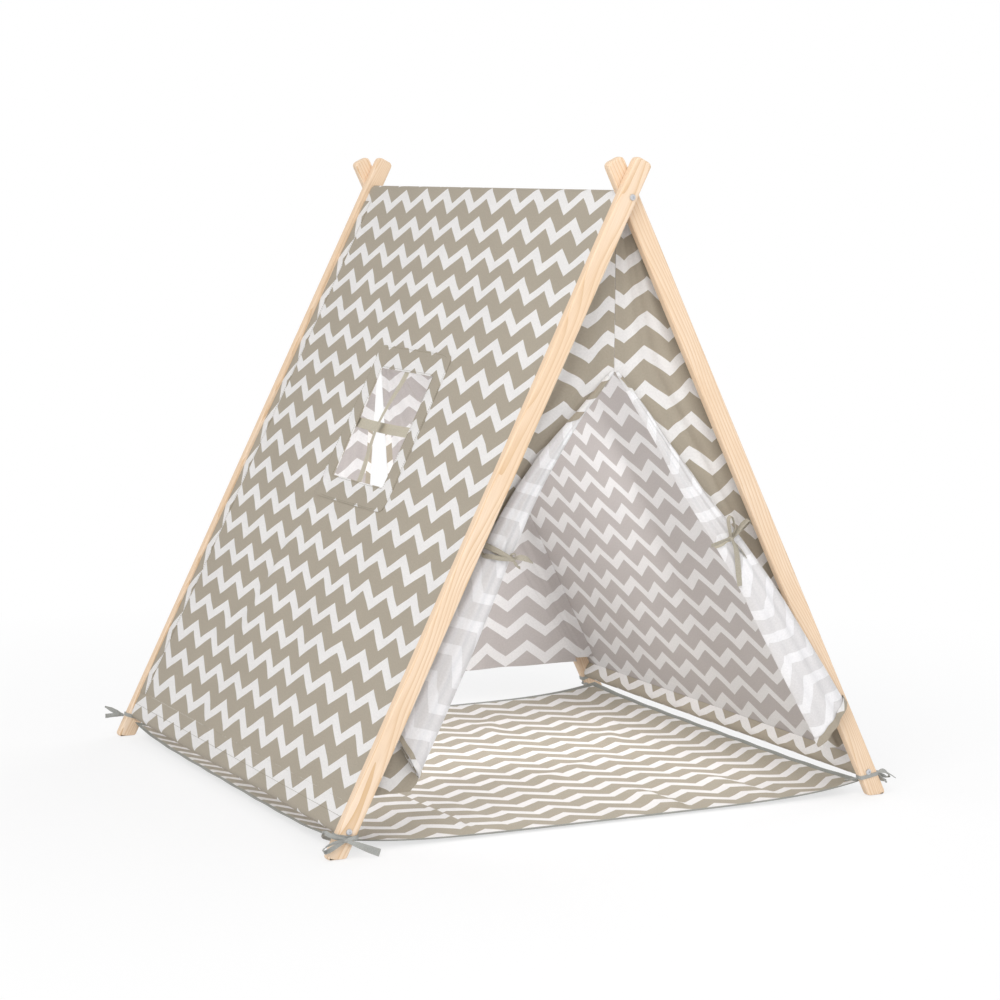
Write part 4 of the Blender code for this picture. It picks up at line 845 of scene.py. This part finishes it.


# Front flaps: the two halves of the doorway, folded back into flat rolls that lie over the gable
# and, on the right, over the slat. They show the reverse of the cloth, drawn near white with the
# print only faintly through it as painted light for the bright light on them, and a turned hem at
# the lower end.
# A paler copy of the reverse's colours: painted light for the bright light that falls on the rolls.
lit_copy_of_reverse = printed_cotton("cotton_reverse_painted_lit", "#E6E4E4", "#F6F5F6", 0.10, 0.20)
roll_cloth, hem_cloth, lip_cloth = 0.0007, 0.0006, 0.0005
hem_margin, lip_margin = 0.0009, 0.0008
roll_depth = 0.021
roll_top = 0.010
core_turns = 9.0
back_share = 0.14
fold_tilt = math.radians(64.3)
rolls = {
    "left": {
        "side": -1,
        "tie": (-0.243, 0.520),
        "end": (-0.4225, 0.1625),
        "width": 0.085,
        "slant": 0.65,
        "bulge": 0.022,
        "forward": 0.0,
        "widths": ((0, 0.08), (0.11, 0.17), (0.22, 0.42), (0.33, 0.58), (0.42, 0.69), (0.505, 0.72),
                   (0.575, 0.82), (0.73, 0.94), (1, 1)),
        "peak": (-0.010, 1.0435),
        "roll_peak": (-0.320, 0.356),
        "corner": (0.392, 0.117, 0.424),
    },
    "right": {
        "side": 1,
        "tie": (0.220, 0.535),
        "end": (0.464, 0.1515),
        "width": 0.097,
        "slant": 0.38,
        "bulge": 0.0,
        "forward": 0.036,
        "widths": ((0, 0.07), (0.10, 0.20), (0.21, 0.27), (0.30, 0.41), (0.37, 0.45), (0.44, 0.53),
                   (0.49, 0.58), (0.56, 0.64), (0.67, 0.79), (0.80, 0.89), (0.92, 0.96), (1, 1)),
        "peak": (0.066, 1.0148),
        "roll_peak": (0.3875, 0.254),
        "corner": (0.452, 0.130, 0.486),
    },
}


def roll_line(roll, share):
    """The roll's middle line in the upright plane: a straight run from the door's apex to the tie,
    bowed outward by a half sine, and a straight one from the tie to the lower end. Also its share
    at the tie and its length."""
    apex = np.array([roll["side"] * roll_top / 2, door_apex])
    tie, end = np.array(roll["tie"]), np.array(roll["end"])
    upper, lower = np.linalg.norm(tie - apex), np.linalg.norm(end - tie)
    tie_share = upper / (upper + lower)
    first = np.clip(share / tie_share, 0, 1)[..., None]
    second = np.clip((share - tie_share) / (1 - tie_share), 0, 1)[..., None]
    line = apex + (tie - apex) * first + (end - tie) * second
    line[..., 0] += roll["side"] * roll["bulge"] * np.sin(np.pi * first[..., 0])
    return line, tie_share, upper + lower


def roll_half_door(roll):
    """Half the front doorway's width at a height: the roll's middle line down to the tie, then a
    straight edge to the corner that hangs out under the roll, and the rounded corner itself."""
    tie_x, tie_z = np.abs(roll["tie"][0]), roll["tie"][1]
    corner_x, corner_z, bottom_x = roll["corner"]

    def read(height):
        local = np.clip((door_apex - height) / (door_apex - tie_z), 0, 1)
        above = tie_x * local + roll["bulge"] * np.sin(np.pi * local)
        between = tie_x + (corner_x - tie_x) * (tie_z - height) / (tie_z - corner_z)
        lower = np.clip((corner_z - height) / (corner_z - cover_bottom), 0, 1)
        below = corner_x + (bottom_x - corner_x) * lower**2
        return np.where(height > tie_z, above, np.where(height > corner_z, between, below))

    return read


def half_width(roll, share):
    """Half the roll's width at a share of its length."""
    return roll["width"] * np.interp(share, *np.transpose(roll["widths"])) / 2


def roll_surface(roll, share, angle, turns, margin=0.0):
    """Points of the rolled cloth. Its section is a flat D: half the width times the cosine of the
    angle across, and a shallow back and a deep front times its sine, with soft pleats on the front.
    Each full turn draws the section in toward its middle, and the route leans away at the end."""
    line, tie_share, _ = roll_line(roll, share)
    after, before = np.minimum(1, share + 0.02), np.maximum(0, share - 0.02)
    ahead_line = unit(roll_line(roll, after)[0] - roll_line(roll, before)[0])
    outward = roll["side"] * np.stack([-ahead_line[..., 1], ahead_line[..., 0]], -1)
    half = half_width(roll, share) + margin
    depth = roll_top / 2 + (roll_depth - roll_top / 2) * np.minimum(1, 1.6 * share)
    seat = (fold_depth + 0.002) * np.minimum(1, share / 0.12)
    over_slat = roll["forward"] * eased(np.clip((share - 0.30) / 0.32, 0, 1))
    back = gable_plane + cloth_thickness / 2 + 0.0003 + seat + over_slat
    lift = np.sin(angle)
    front = np.clip(lift, 0, 1)
    pleat = 0.0022 * np.minimum(1, 3 * share) * front * np.cos(3 * np.pi * np.cos(angle))
    off_tie = np.clip(np.abs(share - tie_share) * 9, 0, 1)
    soft = 0.0007 * np.sin(23 * share * np.pi + 4 * np.cos(angle)) * front * off_tie
    swell = np.where(lift > 0, 1 - back_share, back_share) * lift
    deep = depth * (back_share + swell) + pleat + soft + margin * lift
    deep = depth * 0.5 + (deep - depth * 0.5) * np.clip(1 - 0.20 * turns, 0.2, 1)
    reach = half * np.cos(angle) * np.clip(1 - 0.09 * turns, 0.2, 1)
    slant = roll["slant"] * np.clip((share - tie_share) / (1 - tie_share), 0, 1)
    flat = line + outward * reach[..., None] - ahead_line * (slant * reach)[..., None]
    return joined(flat[..., 0], -(back + deep), flat[..., 1])


def roll_piece(name, word, share, angle, turns, margin, cut, finishes, thickness):
    """A piece of the rolled cloth, whose outward side looks away from the roll's core. It rides with
    its own frame and gets its own mesh."""
    roll = rolls[word]
    points = roll_surface(roll, share, angle, turns, margin)
    core = roll_surface(roll, share, angle, np.full_like(angle, core_turns))
    item = cut_sheet(name + "_" + word, points, cut, (points - core)[:-1, :-1])
    dress(item, finishes, thickness)
    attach(item, "frame_" + word)
    crumple(item)
    return item


def flap_roll(word):
    """A front flap: a sheet wound from its fold line, which lies at the back of the roll, round the
    door side, over the front and on inward, more turns at the wide lower end than at the apex. The
    print on the front is the door's, mirrored about a line along the roll."""
    roll = rolls[word]
    share = np.linspace(0, 1, 110)[:, None]
    turns = (1.15 + 1.15 * share) * np.linspace(0, 1, 130)[None, :]
    angle = 1.5 * np.pi - 2 * np.pi * turns
    share_grid = np.broadcast_to(share, angle.shape)
    points = roll_surface(roll, share_grid, angle, turns)
    across_run = run_along(points)
    line, _, length = roll_line(roll, share_grid)
    front = np.abs(angle - np.pi / 2).argmin(axis=1)[:, None]
    tilt = -roll["side"] * fold_tilt
    axis = np.array([math.cos(tilt), math.sin(tilt)])
    square = np.array([-math.sin(tilt), math.cos(tilt)])
    peak = np.array(roll["roll_peak"])
    down_axis = points[..., [0, 2]] @ axis - peak @ axis
    over_axis = across_run - np.take_along_axis(across_run, front, 1) + line @ square - peak @ square
    mirrored = down_axis[..., None] * axis - over_axis[..., None] * square
    cut = mirrored * (1, -1)
    finishes = (lit_copy_of_reverse, cover_print)
    item = roll_piece("front_roll", word, share_grid, angle, turns, 0.0, cut, finishes, roll_cloth)
    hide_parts("front_flap_" + word)
    area = float(np.trapz(across_run[:, -1], share[:, 0]) * length)
    wide = float(across_run[:, -1].max())
    area = min(wide * length, max(0.3 * wide * length, area))


for word, side, creases, lay in sides:
    roll = rolls[word]
    gable_sheet("front", word, side, roll_half_door(roll), roll["peak"], fold_depth)
    flap_roll(word)


def roll_lip(word, end_share, wide, white_start):
    """The printed face where it shows along a roll's outer edge, next to the apex: a strip from the
    edge inward, as wide as the roll there or as the lip, whichever is less."""
    roll = rolls[word]
    share = np.linspace(0.014, end_share, 26)[:, None]
    wide = wide * np.minimum(1, (end_share - share) / 0.02) + 0.0005
    inward = np.arccos(np.clip(1 - wide / half_width(roll, share), -1, 1))
    angle = 0.10 + (inward - 0.10) * np.linspace(0, 1, 9)[None, :]
    share = np.broadcast_to(share, angle.shape)
    length = roll_line(roll, np.zeros(1))[2]
    cut = joined(0.02 + 0.01 * np.cos(angle), (share * length - white_start) * 0.9)
    form = (share, angle, 0 * angle, lip_margin, cut, (cover_print,), lip_cloth)
    item = roll_piece("front_lip", word, *form)


def roll_hem(word, length_share, start):
    """The turned hem at a roll's lower end: a strip round the first turn, just proud of it."""
    share = np.linspace(1 - length_share, 1.0, 5)[:, None]
    angle = 1.5 * np.pi - 2 * np.pi * 0.98 * np.linspace(0, 1, 60)[None, :]
    share, angle = np.broadcast_arrays(share, angle)
    run = run_along(roll_surface(rolls[word], share, angle, 0 * angle, hem_margin)[-1])
    cut = joined(run[None, :] - start[0], (share - 1) * 0.8 + start[1])
    form = (share, angle, 0 * angle, hem_margin, cut, (cover_print,), hem_cloth)
    item = roll_piece("front_hem", word, *form)


roll_lip("left", 0.150, 0.009, 0.044)
roll_lip("right", 0.070, 0.006, 0.020)
roll_hem("left", 0.014, (0.080, 0.020))
roll_hem("right", 0.020, (0.0, 0.0))


# Rear flaps: both halves of the rear doorway hang loose from their fold lines in upright folds,
# with a narrow slit between their hemmed edges.
slit_middle_height = 0.520
slit_middle = 0.022
slit_foot = 0.045
edge_hem_width = 0.013
flap_wave = 0.009
fold_tuck, hem_tuck = 0.0013, 0.0012


def rear_slit(height):
    """Half the gap between the rear flaps at a height: two straight runs."""
    above = (door_apex - height) / (door_apex - slit_middle_height)
    above = seam_gap + (slit_middle - seam_gap) * above
    below = (slit_middle_height - height) / (slit_middle_height - cover_bottom)
    below = slit_middle + (slit_foot - slit_middle) * below
    return np.where(height > slit_middle_height, above, below)


def rear_flap(word, side):
    """A hanging flap and the turned hem along its free edge: rows between the fold line and that
    edge, with waves across that grow downward and toward the edge."""
    top = door_apex - 0.004
    tall = top - cover_bottom
    height = np.linspace(cover_bottom, top, 72)[:, None]
    hinge = rear_fold(height) + seam_gap
    rise = (height - cover_bottom) / tall

    def hanging(part, inset):
        """Points at shares of the way to the free edge, an inset behind the gable's plane."""
        waves = 0.85 * np.sin(6 * np.pi * part) + 0.15 * np.sin(11 * np.pi * part + 2 * rise)
        wave = flap_wave * np.sin(np.pi * part / 2) * (1 - rise**2) * waves
        x = side * (hinge + (rear_slit(height) - hinge) * part)
        return joined(x, gable_plane - inset + wave, height)

    part = np.linspace(0, 1, 60)[None, :]
    points = hanging(part, fold_tuck * np.clip(1 - part / 0.03, 0, 1))
    peak = rear_peaks[word]
    cut = joined(points[..., 0] - peak[0], peak[1] - points[..., 2])
    door = cut_sheet("rear_door_" + word, points, cut, np.array([0, 1, 0]))
    dress(door, (cover_print, cover_reverse), cloth_thickness)
    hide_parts("rear_flap_" + word)
    hem_part = 1 - np.linspace(0, 1, 5)[None, :] * edge_hem_width / (hinge - rear_slit(height))
    points = hanging(hem_part, hem_tuck)[: np.searchsorted(height[:, 0], top - 0.18)]
    cut = joined(points[..., 0] - 0.05, 1.03 - points[..., 2])
    hem = cut_sheet("rear_door_hem_" + word, points, cut, np.array([0, -1, 0]))
    dress(hem, (cover_print,), hem_cloth)
    for item in (door, hem):
        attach(item, "rear_flap_" + word)
        crumple(item)


rear_flap("left", -1)
rear_flap("right", 1)


# Floor mat: a square of the same cotton with a grey tape binding, flat in the middle, lifted at
# its sides and corners where the ties pull it up to the feet.
mat_half = (0.565, 0.551)
mat_thickness = 0.0014
mat_border = 0.14
mat_corner_draw = 0.006
side_lift, end_lift = 0.015, 0.003
side_corner_lift, end_corner_lift = 0.014, 0.026
binding_width = 0.012
binding_thickness = 0.0022
mat_peak = (0.045, -0.008)


def mat_lift(x, y):
    """Height of the mat's underside: the square of the way into a border strip, times a lift that
    differs at the sides, the ends and the corners; the greater of the two borders counts."""
    shares = [np.clip(np.abs(a) / half, 0, 1) for a, half in zip((x, y), mat_half)]
    ways_in = [1 - (1 - share) * half / mat_border for share, half in zip(shares, mat_half)]
    borders = [np.clip(way, 0, None) ** 2 for way in ways_in]
    at_side = borders[0] * (side_lift + side_corner_lift * shares[1] ** 5)
    at_end = borders[1] * (end_lift + end_corner_lift * shares[0] ** 5)
    ripple = 0.0012 * borders[0] * np.sin(26 * y + 1.0) ** 2 * (1 - shares[1] ** 6)
    return np.maximum(at_side, at_end) + ripple


def mat_point(x_share, y_share, inset):
    """A point of the mat's underside, drawn in at the corners."""
    x = x_share * (mat_half[0] - inset - mat_corner_draw * np.abs(y_share) ** 6)
    y = y_share * (mat_half[1] - inset)
    return x, y, mat_lift(x, y)


mat_creases = (
    ((-0.297, -0.15), (-0.279, -0.50), 0.080, 0.010, 0.0125),
    ((-0.205, -0.53), (-0.220, -0.26), 0.022, 0.022, 0.0025),
    ((0.175, -0.53), (0.160, -0.36), 0.040, 0.008, 0.0060),
    ((0.385, -0.52), (0.350, -0.30), 0.030, 0.012, 0.0045),
    ((-0.440, 0.10), (-0.300, 0.36), 0.024, 0.020, 0.0045),
    ((0.100, 0.20), (0.240, 0.42), 0.024, 0.024, 0.0045),
    ((0.020, -0.20), (0.260, -0.05), 0.022, 0.022, 0.0035),
    ((0.330, 0.05), (0.450, 0.30), 0.020, 0.020, 0.0040),
)
mat_print = printed_cotton("printed_cotton_mat", "#AEA594", "#EDEBE9", 0.05)


def mat_sheet():
    """The printed square on a grid. It rises in slow waves and in creases that fade toward the edges:
    each is a Gaussian ridge about a line, with one width to its left and one to its right."""
    share_x, share_y = np.meshgrid(np.linspace(-1, 1, 201), np.linspace(-1, 1, 121))
    x, y, z = mat_point(share_x, share_y, binding_width - seam_inset)
    fade = np.clip((1 - np.abs(share_x)) / 0.12, 0, 1) * np.clip((1 - np.abs(share_y)) / 0.06, 0, 1)
    rumple = 0.0030 * (np.sin(5.1 * x + 2.3 * y + 1.2) * np.sin(4.3 * y - 2.1 * x + 0.5)) ** 2
    rumple = rumple + 0.0009 * (np.sin(17 * x + 5 * y + 1) * np.sin(11 * y - 4 * x)) ** 2
    for start, end, left_width, right_width, rise in mat_creases:
        reach, away = about_line(x, y, start, end)
        width = np.where(away * (end[1] - start[1]) < 0, left_width, right_width)
        ends = np.exp(-np.clip(np.abs(reach - 0.5) - 0.32, 0, None) ** 2 / 0.03)
        rumple = rumple + rise * np.exp(-((away / width) ** 2)) * ends
    points = joined(x, y, z + mat_thickness + rumple * fade)
    cut = joined(x - mat_peak[0], mat_peak[1] - y)
    item = cut_sheet("mat_cloth", points, cut, np.array([0, 0, 1]))
    dress(item, (mat_print, cover_reverse), mat_thickness)
    return item


def mat_edge():
    """The binding: a flattened tube of tape folded over the edge. Its section is an ellipse half
    as high as the tape is thick; its route goes once round the mat."""
    corner = np.array([(-1, -1), (1, -1), (1, 1), (-1, 1), (-1, -1)], float)
    step = np.linspace(0, 4, 4 * 60 + 1)[:, None]
    share_x, share_y = (np.interp(step, range(5), corner[:, k]) for k in (0, 1))
    angle = np.linspace(0, 2 * math.pi, 17)[None, :]
    inset = binding_width / 2 * (1 + np.cos(angle))
    x, y, z = mat_point(share_x, share_y, inset)
    height = binding_thickness / 2 * (1 + np.sin(angle) * (1 + 0.10 * np.sin(step * 400)))
    points = joined(x, y, z + 0.0001 + height)
    cut = joined(inset - binding_width / 2, step * mat_half[0] * 2)
    middle = joined(*mat_point(share_x, share_y, binding_width / 2)) + (0, 0, binding_thickness / 2)
    welded = np.concatenate([points[:-1], points[:1]])
    return cut_sheet("mat_tape", welded, cut, welded[:-1, :-1] - middle[:-1], closed=True)


# The second, darker colour is painted shade in the tape's ribs and crumples.
grey_tape = herringbone_tape("grey_cotton_tape", "#A3A49D", "#73756F")
mat_piece = mat_sheet()
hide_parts("floor_mat")
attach(mat_piece, "frame_left")
mat_tape = mat_edge()
mat_tape.data.materials.append(grey_tape)
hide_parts("mat_binding")
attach(mat_tape, "frame_left")
for item in (mat_piece, mat_tape):
    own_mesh(item)


# Flap ties: taupe cotton tape sewn into the gable's outer seam, passed round each roll, knotted on
# its front and left with loose ends. On the right the bow has two thin loops and one long end.
# Keys, widths and knots are given in millimetres.
tie_thickness = 0.0009
knot_thickness = 0.0008
tape_cup = 0.0005
flap_band_width = 0.008
band_gap = 0.0012
viewing_way = np.array([0.0, 1.0, 0.0])


def smooth_route(keys, count):
    """A curve through the keys, in cubic pieces whose slope at a key is half the step between its
    neighbours."""
    slope = np.gradient(keys, axis=0)
    at = np.linspace(0, len(keys) - 1, count)
    k = np.clip(at.astype(int), 0, len(keys) - 2)
    t = (at - k)[:, None]
    leaving = keys[k] * (1 + 2 * t) * (1 - t) ** 2 + slope[k] * t * (1 - t) ** 2
    arriving = keys[k + 1] * t**2 * (3 - 2 * t) + slope[k + 1] * t**2 * (t - 1)
    return leaving + arriving


def strand(name, start, finish, body, keys, widths, twists):
    """A length of tape through keys given from its start. A twist of nought lies flat to the front,
    one of ninety degrees stands on edge."""
    count = 9 * len(keys)
    route = start + smooth_route(0.001 * np.array(keys, float), count)
    at = np.linspace(0, 1, count)
    width = 0.001 * np.interp(at, np.linspace(0, 1, len(widths)), widths)
    twist = np.radians(np.interp(at, np.linspace(0, 1, len(twists)), twists))[:, None]
    way = unit(np.gradient(route, axis=0))
    edge = unit(viewing_way - (way @ viewing_way)[:, None] * way)
    sideways = np.cos(twist) * np.cross(way, edge) + np.sin(twist) * edge
    item = ribbon(name, route, sideways, width, tie_thickness, finish, cupped(tape_cup))
    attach(item, body)
    return item


def knot(name, place, finish, body, radius, length, tilt):
    """Two turns of tape pulled tight: a short drum about a tilted line, wavy along its ends."""
    radius, length = 0.001 * radius, 0.001 * length
    angle = np.linspace(0, 2 * np.pi, 33)[:, None]
    out = radius * (1 + 0.12 * np.cos(2 * angle) + 0.08 * np.sin(3 * angle))
    axis = np.array([math.cos(tilt), 0, math.sin(tilt)])
    rise = np.array([-math.sin(tilt), 0, math.cos(tilt)])
    share = np.linspace(-1, 1, 9)[:, None, None]
    ring = out * (np.cos(angle) * viewing_way + np.sin(angle) * rise)
    wavy = share * length / 2 * (1 + 0.2 * np.sin(2 * angle)) * axis
    drum = place + np.sqrt(1 - 0.75 * share**2) * ring + wavy
    caps = 0.3 * drum[[0, -1]] + 0.7 * drum[[0, -1]].mean(1, keepdims=True)
    points = np.concatenate([caps[:1], drum, caps[1:]])
    cut = joined(np.linspace(0, length, 11)[:, None], angle[:, 0] * radius)
    item = cut_sheet(name, points, cut, points[:-1, :-1] - place, closed=True)
    dress(item, (finish,), knot_thickness)
    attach(item, body)
    return item


def bow(place, finish, body, knot_name, knot_form, strands):
    """A knot and the strands that start in it: each has a name, keys, widths and twists."""
    pieces = [knot(knot_name, place, finish, body, *knot_form)]
    return pieces + [strand(name, place, finish, body, *form) for name, *form in strands]


def roll_band(word, later):
    """The turn of tape round a roll: its section near the tie, just proud of the cloth."""
    roll = rolls[word]
    angle = np.linspace(0, 2 * np.pi, 61)
    share = roll_line(roll, np.zeros(1))[1] + later + 0 * angle
    nearer, route, further = (
        roll_surface(roll, share + step, angle, 0 * angle, band_gap) for step in (-0.004, 0, 0.004)
    )
    form = (flap_band_width, tie_thickness, taupe_tape, cupped(0))
    item = ribbon("tie_band_" + word, route, further - nearer, *form)
    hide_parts("flap_tie_" + word)
    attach(item, "frame_" + word)
    return item


# The second, darker colour is painted shade in the tape's ribs and crumples.
flap_tape = herringbone_tape("flap_tape", "#C2BBAB", "#7F7768")
tie_pieces = {"left": [roll_band("left", 0.0)], "right": [roll_band("right", 0.015)]}
left_bow = (
    ("tie_strand_left_upper", ((0, -3, 1), (-18, -3, 10), (-36, 3, 20), (-53, 18, 29), (-75, 24, 40)),
     (5, 9, 10, 10), (20, 0, 8, 20)),
    ("tie_strand_left_lower", ((0, -2, -1), (-20, -3, 2), (-38, 2, 6), (-50, 14, 8), (-46, 22, 14)),
     (5, 9, 9, 7), (10, 25, 10, 40)),
    ("tie_tail_left_long", ((2, -3, 1), (12, -7, 3), (24, -8, 0), (39, -6, -9)),
     (4, 10, 10, 2), (50, 10, 0, 20)),
    ("tie_tail_left_short", ((1, -2, -2), (4, -6, -8), (9, -6, -14), (14, -4, -16)),
     (4, 7, 7, 6), (30, 20, 60, 30)),
    ("tie_loop_left", ((-2, -3, 2), (-5, -7, 9), (1, -9, 11), (3, -6, 3)),
     (4, 6, 6, 4), (70, 80, 80, 60)),
)
right_bow = (
    ("tie_loop_right_upper", ((-2, -3, 3), (-8, -9, 18), (-13, -12, 36), (-10, -13, 44), (-4, -12, 40),
                              (3, -9, 22), (1, -4, 3)),
     (5, 9, 10, 10, 9, 5), (60, 78, 84, 84, 78, 70)),
    ("tie_loop_right_outer", ((3, -3, 2), (12, -8, 14), (25, -10, 29), (33, -8, 34), (34, -5, 27),
                              (20, -4, 14), (4, -2, 1)),
     (5, 9, 10, 10, 9, 5), (60, 80, 84, 84, 80, 70)),
    ("tie_tail_right_inner", ((-3, -3, -1), (-15, -7, -1), (-29, -6, -6), (-44, -3, -11)),
     (5, 9, 9, 10), (35, 50, 30, 40)),
    ("tie_tail_right_long", ((2, -3, -3), (7, -8, -18), (11, -8, -42), (15, -6, -66), (18, -6, -90)),
     (6, 11, 11, 11, 10), (25, 12, 0, -12, 5)),
    ("tie_tail_right_short", ((3, -2, -4), (13, -6, -14), (24, -5, -26), (35, -2, -40)),
     (5, 8, 7, 4), (60, 70, 60, 70)),
    ("tie_strand_right", ((0, -1, 1), (20, 4, 14), (36, 18, 22), (62, 34, 30)),
     (6, 9, 9, 9), (20, 10, 20, 20)),
)
left_knot, right_knot = (-0.2235, -0.5650, 0.5100), (0.2275, -0.5790, 0.5250)
tie_pieces["left"] += bow(left_knot, flap_tape, "frame_left", "tie_knot_left", (5.2, 11, -0.35), left_bow)
tie_pieces["right"] += bow(right_knot, flap_tape, "frame_right", "tie_knot_right", (5.5, 11, 0.5), right_bow)
for word, pieces in tie_pieces.items():
    for piece in pieces:
        crumple(piece)


# Foot ties: grey cotton tape from the mat's corners, taken round the foot of each slat and knotted.
# The ends of the front left one lie on the ground, the others stick out at the side.
# The second, darker colour is painted shade in the tape's ribs and crumples.
foot_tape = herringbone_tape("foot_tape", "#B9BAB6", "#70726D")
foot_band_width = 0.0075
slat_half_width = 0.0185
slat_half_thickness = 0.0095
front_outer, front_inner = -0.5821, -0.5628
rear_inner, rear_outer = 0.5628, 0.5821


def foot_band(corner, side, y_middle, height, slope):
    """The turn round a slat's foot: a rounded rectangle in a plane that rises by the slope toward
    +X. In that plane the slat reaches, to both sides, half its width over the cosine of its lean
    plus the slope times the sine."""
    angle = np.linspace(0, 2 * np.pi, 61)
    round_off = (np.abs(np.cos(angle)) ** 7 + np.abs(np.sin(angle)) ** 7) ** (-1 / 7)
    middle = side * (base_half_spread - (height - base_height) * math.tan(slat_lean))
    reach = (slat_half_width + 0.0012) / (math.cos(slat_lean) + side * slope * math.sin(slat_lean))
    x = middle + reach * round_off * np.cos(angle)
    y = y_middle + (slat_half_thickness + 0.0009) * round_off * np.sin(angle)
    route = joined(x, y, height + slope * (x - middle))
    along_slat = np.array([side * math.sin(slat_lean) * 0.4, 0, -1.0])
    form = (foot_band_width, tie_thickness, foot_tape, cupped(0))
    item = ribbon("foot_band_" + corner, route, along_slat, *form)
    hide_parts("mat_tie_" + corner)
    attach(item, "frame_left" if side < 0 else "frame_right")


foot_band("front_left", -1, front_outer, 0.0385, -0.22)
foot_band("front_right", 1, front_inner, 0.0400, 0.16)
foot_band("rear_left", -1, rear_inner, 0.0400, -0.33)
foot_band("rear_right", 1, rear_outer, 0.0400, 0.33)

front_left_bow = (
    ("foot_loop_front_left", ((-2, -2, 0), (-18, -7, 1), (-36, -8, -3), (-44, -6, -10), (-40, -2, -17),
                              (-22, -1, -10), (-3, -1, -2)),
     (4, 8, 10, 10, 9, 4), (40, 30, 55, 80, 45, 30)),
    ("foot_strand_front_left", ((0, -2, 1), (-14, -2, 6), (-27, 0, 11), (-36, 10, 16), (-30, 30, 4),
                                (-8, 40, -6)),
     (5, 8, 8, 8), (10, 5, 20, 40)),
    ("foot_tail_front_left", ((2, -2, -1), (20, -6, -8), (42, -6, -18), (64, -4, -27.5)),
     (5, 10, 13, 14), (30, 15, 0, 10)),
    ("foot_strand_front_left_inner", ((2, -1, 1), (14, -1, 3), (26, 6, 2), (34, 30, -2), (38, 44, -6)),
     (5, 8, 8, 7), (20, 10, 30, 40)),
)
front_right_bow = (
    ("foot_loop_front_right_upper", ((1, -2, 1), (9, -5, 4), (18, -7, 0), (26, -5, -8), (21, -3, -11),
                                     (10, -2, -5), (1, -1, -1)),
     (4, 8, 9, 9, 8, 4), (60, 30, 65, 85, 50, 40)),
    ("foot_loop_front_right_lower", ((1, -1, -1), (7, -4, -7), (14, -5, -14), (19, -4, -18), (13, -1, -17),
                                     (6, 0, -8), (1, 0, -1)),
     (4, 8, 9, 9, 8, 4), (50, 70, 60, 85, 50, 40)),
    ("foot_tail_front_right", ((2, -3, 1), (14, -9, 1), (27, -11, -6), (38, -9, -13)),
     (4, 6, 5, 2), (50, 60, 70, 60)),
)
rear_left_bow = (
    ("foot_tail_rear_left_upper", ((-1, -2, 1), (-13, -5, 7), (-25, -4, 14), (-38, -2, 21)),
     (5, 10, 9, 3), (30, 10, 5, 15)),
    ("foot_tail_rear_left_lower", ((-1, -1, -1), (-12, -4, 1), (-24, -3, 1), (-37, -1, 0)),
     (5, 9, 9, 10), (20, 20, 10, 15)),
)
rear_right_bow = (
    ("foot_tail_rear_right_upper", ((1, 2, 1), (13, 3, 7), (25, 3, 12), (37, 2, 17)),
     (5, 10, 9, 3), (30, 10, 5, 15)),
    ("foot_tail_rear_right_lower", ((1, 1, -1), (12, 2, -3), (24, 3, -9), (34, 2, -16)),
     (5, 9, 9, 10), (20, 20, 10, 15)),
)


def foot_tie(corner, place, knot_form, strands, start=None, keys=None):
    """A bow at a foot and, where it has a start, the short strand that runs from the band to the
    mat's corner."""
    body = "frame_" + corner.split("_")[1]
    bow(place, foot_tape, body, "foot_knot_" + corner, knot_form, strands)
    if start:
        strand("foot_strand_" + corner, start, foot_tape, body, keys, (7, 8, 7), (60, 50, 30))


foot_tie("front_left", (-0.5624, -0.5965, 0.0345), (4.2, 10, -0.3), front_left_bow)
foot_tie("front_right", (0.5772, -0.5680, 0.0440), (4.5, 8, 0.2), front_right_bow,
         (0.5315, -0.5640, 0.0350), ((0, 0, 0), (-4, 6, -1), (-6, 14, -4), (-10, 22, -7)))
foot_tie("rear_left", (-0.5870, 0.5560, 0.0470), (4.0, 8, -0.4), rear_left_bow,
         (-0.5360, 0.5560, 0.0270), ((0, 0, 0), (2, -6, -1), (0, -12, -2)))
foot_tie("rear_right", (0.5870, 0.5890, 0.0470), (4.0, 8, 0.4), rear_right_bow,
         (0.5360, 0.5720, 0.0270), ((0, 0, 0), (-1, -12, -1), (2, -24, -2)))
